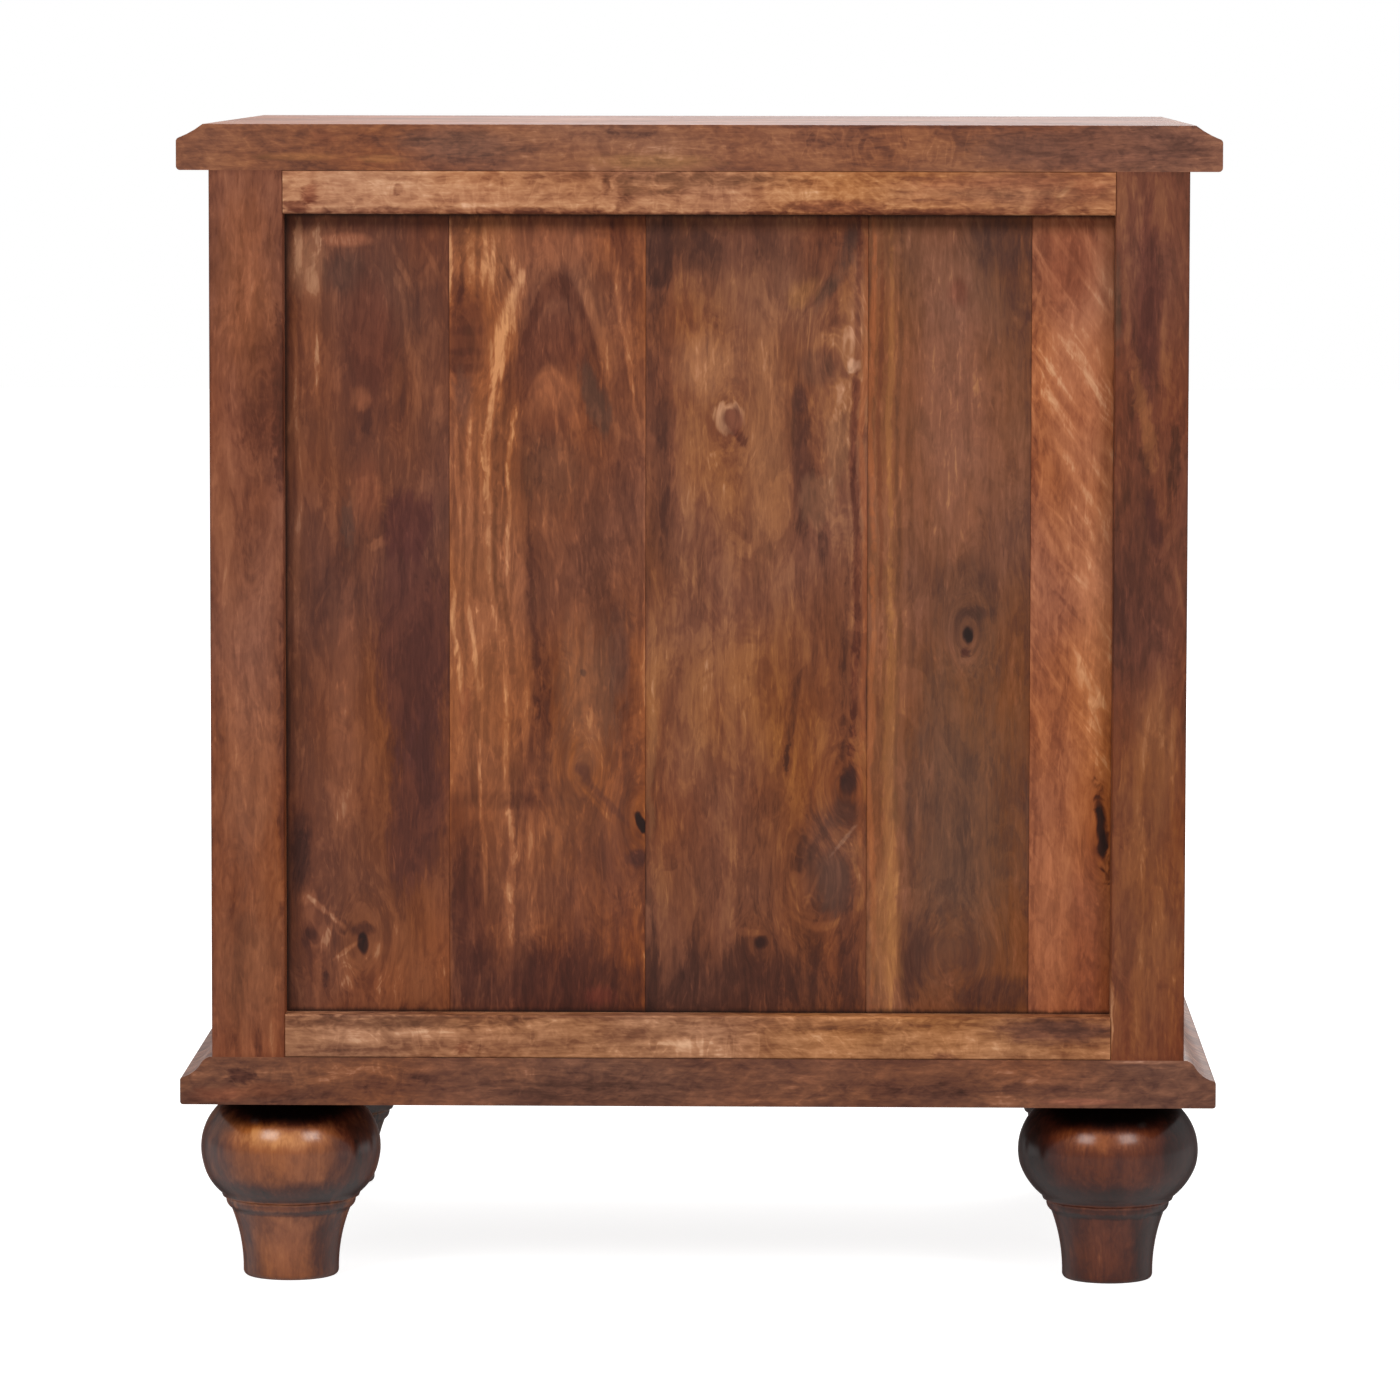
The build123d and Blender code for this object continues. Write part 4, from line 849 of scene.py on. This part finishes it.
# Feet. Each is turned from one square of wood: a fat bulb, a quirk with a thin ring under it,
# and a hollow taper down to a rounded sole. A spigot on top is glued up into the plinth.
def through(a, b, c, steps):
    """Points on the circle through a, b and c, from a round to c. Its centre is where the
    lines midway between a and b and between b and c meet."""
    a, b, c = (np.array(one, float) for one in (a, b, c))
    sides = np.array([b - a, c - b])
    centre = np.linalg.solve(sides, np.array([(b @ b - a @ a) / 2, (c @ c - b @ b) / 2]))
    radius = np.linalg.norm(a - centre)
    start, stop = (np.arctan2(*(one - centre)[::-1]) for one in (a, c))
    turn = np.linspace(start, stop, steps)[:, None]
    return centre + radius * np.hstack([np.cos(turn), np.sin(turn)])


def bowed(a, b, sag, steps):
    """Points on a shallow arc from a to b: the chord, and 4 sag t (1 - t) to its left."""
    a, b = np.array(a, float), np.array(b, float)
    t = np.linspace(0, 1, steps)[:, None]
    across = np.array([a[1] - b[1], b[0] - a[0]]) / np.linalg.norm(b - a)
    return a + (b - a) * t + across * 4 * sag * t * (1 - t)


def turned(name, outline, place, around=112):
    """A turned surface. Each outline point (r, h) goes round the axis at angle u, and place
    gives the points from r cos u, r sin u and h. Both ends are closed by a flat disc."""
    u = np.linspace(0, 2 * np.pi, around, endpoint=False)
    r, h = outline[:, :1], outline[:, 1:]
    grid = np.stack(np.broadcast_arrays(*place(r * np.cos(u), r * np.sin(u), h)), axis=-1)
    index = np.arange(len(outline) * around).reshape(len(outline), around)
    following = np.roll(index, -1, axis=1)
    sides = np.stack([index[:-1], index[1:], following[1:], following[:-1]], axis=-1)
    ends = [index[0].tolist(), index[-1][::-1].tolist()]
    return mesh_piece(name, grid.reshape(-1, 3), sides.reshape(-1, 4).tolist() + ends, sharp=35)


# The outline is radius and height in millimetres, from the top of the spigot down to the sole,
# whose rounded edge bends in from the end of the taper.
spigot = [(12.5, 108.5), (12.5, 90.5)]
bulb = through((24, 90.5), (44, 63.5), (33.3, 41), 34)
quirk = [(32.6, 39.2)]
ring = bowed((30.9, 38.4), (29.3, 34.0), 0.6, 9)
taper_end = 22.8
sole_height = 2.6
sole_round = 2.2
taper = bowed((28.4, 33.2), (taper_end, sole_height), -1.5, 26)
sole = [(taper_end - sole_round * (1 - np.cos(bend)), sole_height * (1 - np.sin(bend)))
        for bend in np.linspace(0.2, np.pi / 2, 8)]
foot_outline = np.vstack([spigot, bulb, quirk, ring, taper, sole]) / mm_in_metre
# Turned by eye, each foot comes out a little fuller or slimmer than the next. They are alike
# down to the first height, and the difference is complete below the second, in metres.
shared_above = 0.056
own_below = 0.040
# For each foot its shades, its seed, how much fuller it is and how thick its wax lies. The wax also sets
# how bright the painted highlight on the bulb is, and the front feet's dark shades are painted shade for
# the shadow under the plinth.
foot_woods = {
    "rear_right_foot": (("200c07", "502313", "784022", "9c5a32", "c88653"), 15.3, 0.026, 1.0),
    "rear_left_foot": (("130706", "2e120b", "471d10", "653019", "925230"), 17.9, -0.03, 0.75),
    "front_right_foot": (("180b08", "361b13", "4e2b1a", "6d4024", "94603c"), 19.2, -0.01, 0.6),
    "front_left_foot": (("160a08", "321911", "482819", "653a22", "885837"), 23.6, 0.015, 0.6),
}
for name, (shades, seed, fuller, gloss) in foot_woods.items():
    low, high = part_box(name)
    x, y = (low.x + high.x) / 2, (low.y + high.y) / 2
    own = np.clip((shared_above - foot_outline[:, 1]) / (shared_above - own_below), 0, 1)
    outline = foot_outline.copy()
    outline[:, 0] *= 1 + fuller * own
    foot = turned(name + "_turned", outline, lambda a, b, h: (x + a, y + b, h))
    # The marks are painted light and shade, not figure: a painted pool of light down the middle of the bulb
    # and one down the middle of the taper; the painted shadow of the plinth, nearly black, over the top of
    # the bulb, which is the third mark and has no wax coat; painted shade under the bulb and under the
    # ring; painted shade down both sides of the bulb and of the taper; a painted highlight on the ring; and
    # a painted highlight on the bulb.
    middle = x * mm_in_metre
    foot.data.materials.append(timber(
        name.replace("_", " "), shades, (low, high), seed=seed, pith=(0.012, -0.03), rings=0.4,
        streaks=0.3, fibre=0.15, flecks=0.05, patches=0.04, clouds=0.6, mottle=0.25, wax=0.02,
        coat=gloss, matt=2, bump=0.12,
        marks=[
            (middle + 2, 66, 24, 14, 0.12, 0.7), (middle + 4, 18, 13, 14, 0.14, 0.7),
            (middle, 92, 39, 13, -0.4, 0.3, "0d0706", 0.93),
            (middle, 43.5, 60, 5.5, -0.24, 0.6, "36170d", 0.35),
            (middle, 33.6, 60, 1.3, -0.2, 0.5), (middle - 34, 60, 12, 26, -0.24, 0.6),
            (middle + 38, 56, 10, 24, -0.24, 0.6), (middle - 20, 16, 7, 22, -0.2, 0.6),
            (middle + 22, 18, 5, 20, -0.12, 0.6), (middle, 38.7, 60, 1.1, 0.34, 0.5),
            (middle + 3, 73, 22, 5, 0.32 * gloss, 0.8)]))
    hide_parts(name)
    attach(foot, "carcass")


# Drawers. Three boxes of plain pale wood have stained hardwood fronts, dovetailed at their
# corners, with the bottom board let into grooves.
drawers = ("bottom_drawer", "middle_drawer", "top_drawer")
for number, drawer in enumerate(drawers):
    dress(drawer + "_front", ("37201a", "633b2b", "804d35", "9b6341", "c69067"), grain="X",
          seed=71.0 + 5.3 * number, pith=(0.01, -0.015 - 0.01 * number), taper=0.14, ring=0.008,
          waver=0.016, rings=0.7, streaks=0.5, clouds=0.45)
    for side, grain in (("_left_side", "Y"), ("_right_side", "Y"), ("_back", "X"), ("_bottom", "X")):
        dress(drawer + side, ("6b4a30", "936b48", "ad8560", "bd9873", "d2b18d"), grain=grain,
              seed=91.0 + 2.3 * number + len(side), pith=(0.0, -0.04), taper=0.1, rings=0.5,
              streaks=0.4, clouds=0.4, rough=0.6)


# Knobs. Each is a turned mushroom of the stained wood on a short neck, pulled tight against
# the drawer front by a screw from inside.
def swept(a, b, c, steps):
    """Points on the curve (1 - t)^2 a + 2 t (1 - t) b + t^2 c."""
    t = np.linspace(0, 1, steps)[:, None]
    return (1 - t) ** 2 * np.array(a) + 2 * t * (1 - t) * np.array(b) + t ** 2 * np.array(c)


# The outline is radius and height in millimetres, from the drawer front outwards.
base = (10, 3)
neck = (7.5, 11)
rim = (16, 20)
crown = (8, 29)
knob_outline = np.vstack([
    [(10, 0)], swept(base, (7.5, 3), neck, 12), swept(neck, (16, 11), rim, 20)[1:],
    swept(rim, (16, 29), crown, 22)[1:], [(0.4, 29)]]) / mm_in_metre
for number, drawer in enumerate(drawers):
    low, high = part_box(drawer + "_knob")
    x, z, y = (low.x + high.x) / 2, (low.z + high.z) / 2, high.y
    knob = turned(drawer + "_knob_turned", knob_outline, lambda a, b, h: (x + a, y - h, z + b), around=80)
    knob.data.materials.append(timber(
        drawer.replace("_", " ") + " knob", ("2e1a16", "5a3325", "774730", "8f5a3a", "b27c54"),
        (low, high), grain="Y", seed=121.0 + 4.1 * number, pith=(0.02, -0.01), rings=0.5, streaks=0.4,
        fibre=0.25, rough=0.28, coat=0.5, bump=0.15))
    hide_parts(drawer + "_knob")
    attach(knob, drawer)


# Runners, kickers and stops. Plain strips of pale wood are screwed inside the carcass for the
# drawers to slide on, and small blocks stop them flush with the front.
strips = [drawer + side for drawer in drawers for side in ("_left_runner", "_right_runner")]
for number, name in enumerate([*strips, "left_kicker", "right_kicker", "drawer_stops"]):
    dress(name, ("66472f", "8c6645", "a47d59", "b68f6a", "cba783"),
          grain="X" if name == "drawer_stops" else "Y", seed=151.0 + 1.7 * number, rings=0.4,
          streaks=0.45, clouds=0.4, rough=0.62)


# Screws. Zinc-plated wood screws hold the top, the plinth, the runners, the kickers and the
# knobs. They show only from inside and from below.
def plated_steel():
    """Bright plating with faint clouds and fine turning marks in its roughness."""
    material, tree, place = bare("zinc plated steel")
    clouds = speckle(tree, place, 380, 380)
    scratches = speckle(tree, place, 2600, 700, 2.0, 0.7)
    shown = shaded(tree, sums(tree, "ADD", clouds, 0.5), [(0.3, "8d8a84"), (0.7, "c3c0b8")])
    relief = node(tree, "ShaderNodeBump", {
        "Height": scratches, "Strength": 0.15, "Distance": 0.0002}).outputs[0]
    shader = node(tree, "ShaderNodeBsdfPrincipled", {
        "Base Color": shown, "Metallic": 1.0, "Normal": relief,
        "Roughness": weighted(tree, 0.34, (0.25, clouds), (0.2, scratches))})
    node(tree, "ShaderNodeOutputMaterial", {"Surface": shader.outputs[0]})
    return material


steel = plated_steel()
knob_screws = [drawer + "_knob_screw" for drawer in drawers]
for name in ("top_fixing_screws", "plinth_screws", "runner_screws", *knob_screws):
    clad(name, steel)


# Floor. A wide sheet of white paper lies under the cabinet and takes its shadow. It runs out
# of the picture on all sides, into a white room.
def seen_rays(tree):
    """1 for what the camera sees, also in a reflection or through something clear, and 0 for
    the light that one surface throws on another."""
    rays = node(tree, "ShaderNodeLightPath", {}).outputs
    mirrored = sums(tree, "MAXIMUM", rays["Is Glossy Ray"], rays["Is Transmission Ray"])
    return sums(tree, "MAXIMUM", rays["Is Camera Ray"], mirrored)


def white_paper():
    """Matt white with a faint cloudiness. To the camera and in reflections it adds its own
    light, so that it meets the white room without a line and still holds the shadow."""
    material, tree, place = bare("white paper")
    clouds = speckle(tree, place, 3.0, 3.0)
    shown = shaded(tree, sums(tree, "ADD", clouds, 0.5), [(0.0, "b4b4b3"), (1.0, "bababa")])
    glow = faded(tree, vectors(tree, "LENGTH", place), 0.7, 2.4, 0.87)
    shader = node(tree, "ShaderNodeBsdfPrincipled", {
        "Base Color": shown, "Roughness": 0.9, "Specular IOR Level": 0.1,
        "Emission Color": (1, 1, 1, 1), "Emission Strength": sums(tree, "MULTIPLY", seen_rays(tree), glow)})
    node(tree, "ShaderNodeOutputMaterial", {"Surface": shader.outputs[0]})
    return material


floor_reach = 9
corners = 13
line = np.linspace(-floor_reach, floor_reach, corners)
across, back = np.meshgrid(line, line)
spots = np.stack([across, back, np.zeros_like(across)], axis=-1).reshape(-1, 3)
cells = np.arange(corners * corners).reshape(corners, corners)
squares = np.stack([cells[:-1, :-1], cells[:-1, 1:], cells[1:, 1:], cells[1:, :-1]], axis=-1)
floor = mesh_piece("floor", spots, squares.reshape(-1, 4).tolist(), sharp=30)
floor.data.materials.append(white_paper())


# Light. A large soft box hangs over the cabinet, a little behind it. Two more stand at the
# camera's left and right and one at the front, and the white room does the rest.
def turn(thing, place, aim, roll=0.0):
    """Stands a lamp or camera at place, faces it at aim and rolls it in degrees."""
    place, aim = np.array(place), np.array(aim)
    away = (place - aim) / np.linalg.norm(place - aim)
    side = np.cross((0, 0, 1), away)
    side /= np.linalg.norm(side)
    up = np.cross(away, side)
    cos, sin = np.cos(np.radians(roll)), np.sin(np.radians(roll))
    world = np.eye(4)
    world[:3, 0] = cos * side + sin * up
    world[:3, 1] = cos * up - sin * side
    world[:3, 2] = away
    world[:3, 3] = place
    thing.matrix_world = Matrix(world.tolist())


def soft_box(name, place, aim, width, height, power):
    """A rectangular lamp at place that faces aim, with its sizes in metres and power in watts."""
    lamp = bpy.data.lights.new(name, "AREA")
    lamp.shape = "RECTANGLE"
    lamp.size = width
    lamp.size_y = height
    lamp.energy = power
    box = bpy.data.objects.new(name, lamp)
    turn(box, place, aim)
    bpy.context.scene.collection.objects.link(box)


soft_box("overhead soft box", (0.0, 0.3, 2.4), (0.0, 0.0, 0.4), width=1.6, height=1.2, power=22)
soft_box("left soft box", (1.5, 2.7, 2.1), (0.0, 0.2, 0.3), width=1.2, height=1.0, power=46)
soft_box("right soft box", (-1.5, 2.7, 2.1), (0.0, 0.2, 0.3), width=1.2, height=1.0, power=42)
soft_box("front soft box", (-0.6, -3.0, 2.0), (0.0, -0.2, 0.3), width=2.0, height=1.4, power=70)

# The room lights the cabinet at three tenths of the white that the camera sees.
room = bpy.data.worlds.new("white room")
bpy.context.scene.world = room
room.use_nodes = True
sky = room.node_tree
sky.nodes.clear()
strength = weighted(sky, 0.3, (seen_rays(sky), 0.7))
glow = node(sky, "ShaderNodeBackground", {"Color": (1, 1, 1, 1), "Strength": strength})
node(sky, "ShaderNodeOutputWorld", {"Surface": glow.outputs[0]})


# Camera. It stands 3.6 metres behind the cabinet and 0.61 metres above the floor, a little to
# the side, and looks slightly down at the back through a long lens.
lens = bpy.data.cameras.new("camera")
lens.lens = 193.5
lens.sensor_width = 36
lens.clip_end = 50
camera = bpy.data.objects.new("camera", lens)
turn(camera, place=(-0.065, 3.80675, 0.607), aim=(-0.001, 0.20675, 0.2875), roll=0.095)
bpy.context.scene.collection.objects.link(camera)
bpy.context.scene.camera = camera
bpy.context.scene.view_settings.view_transform = "Standard"
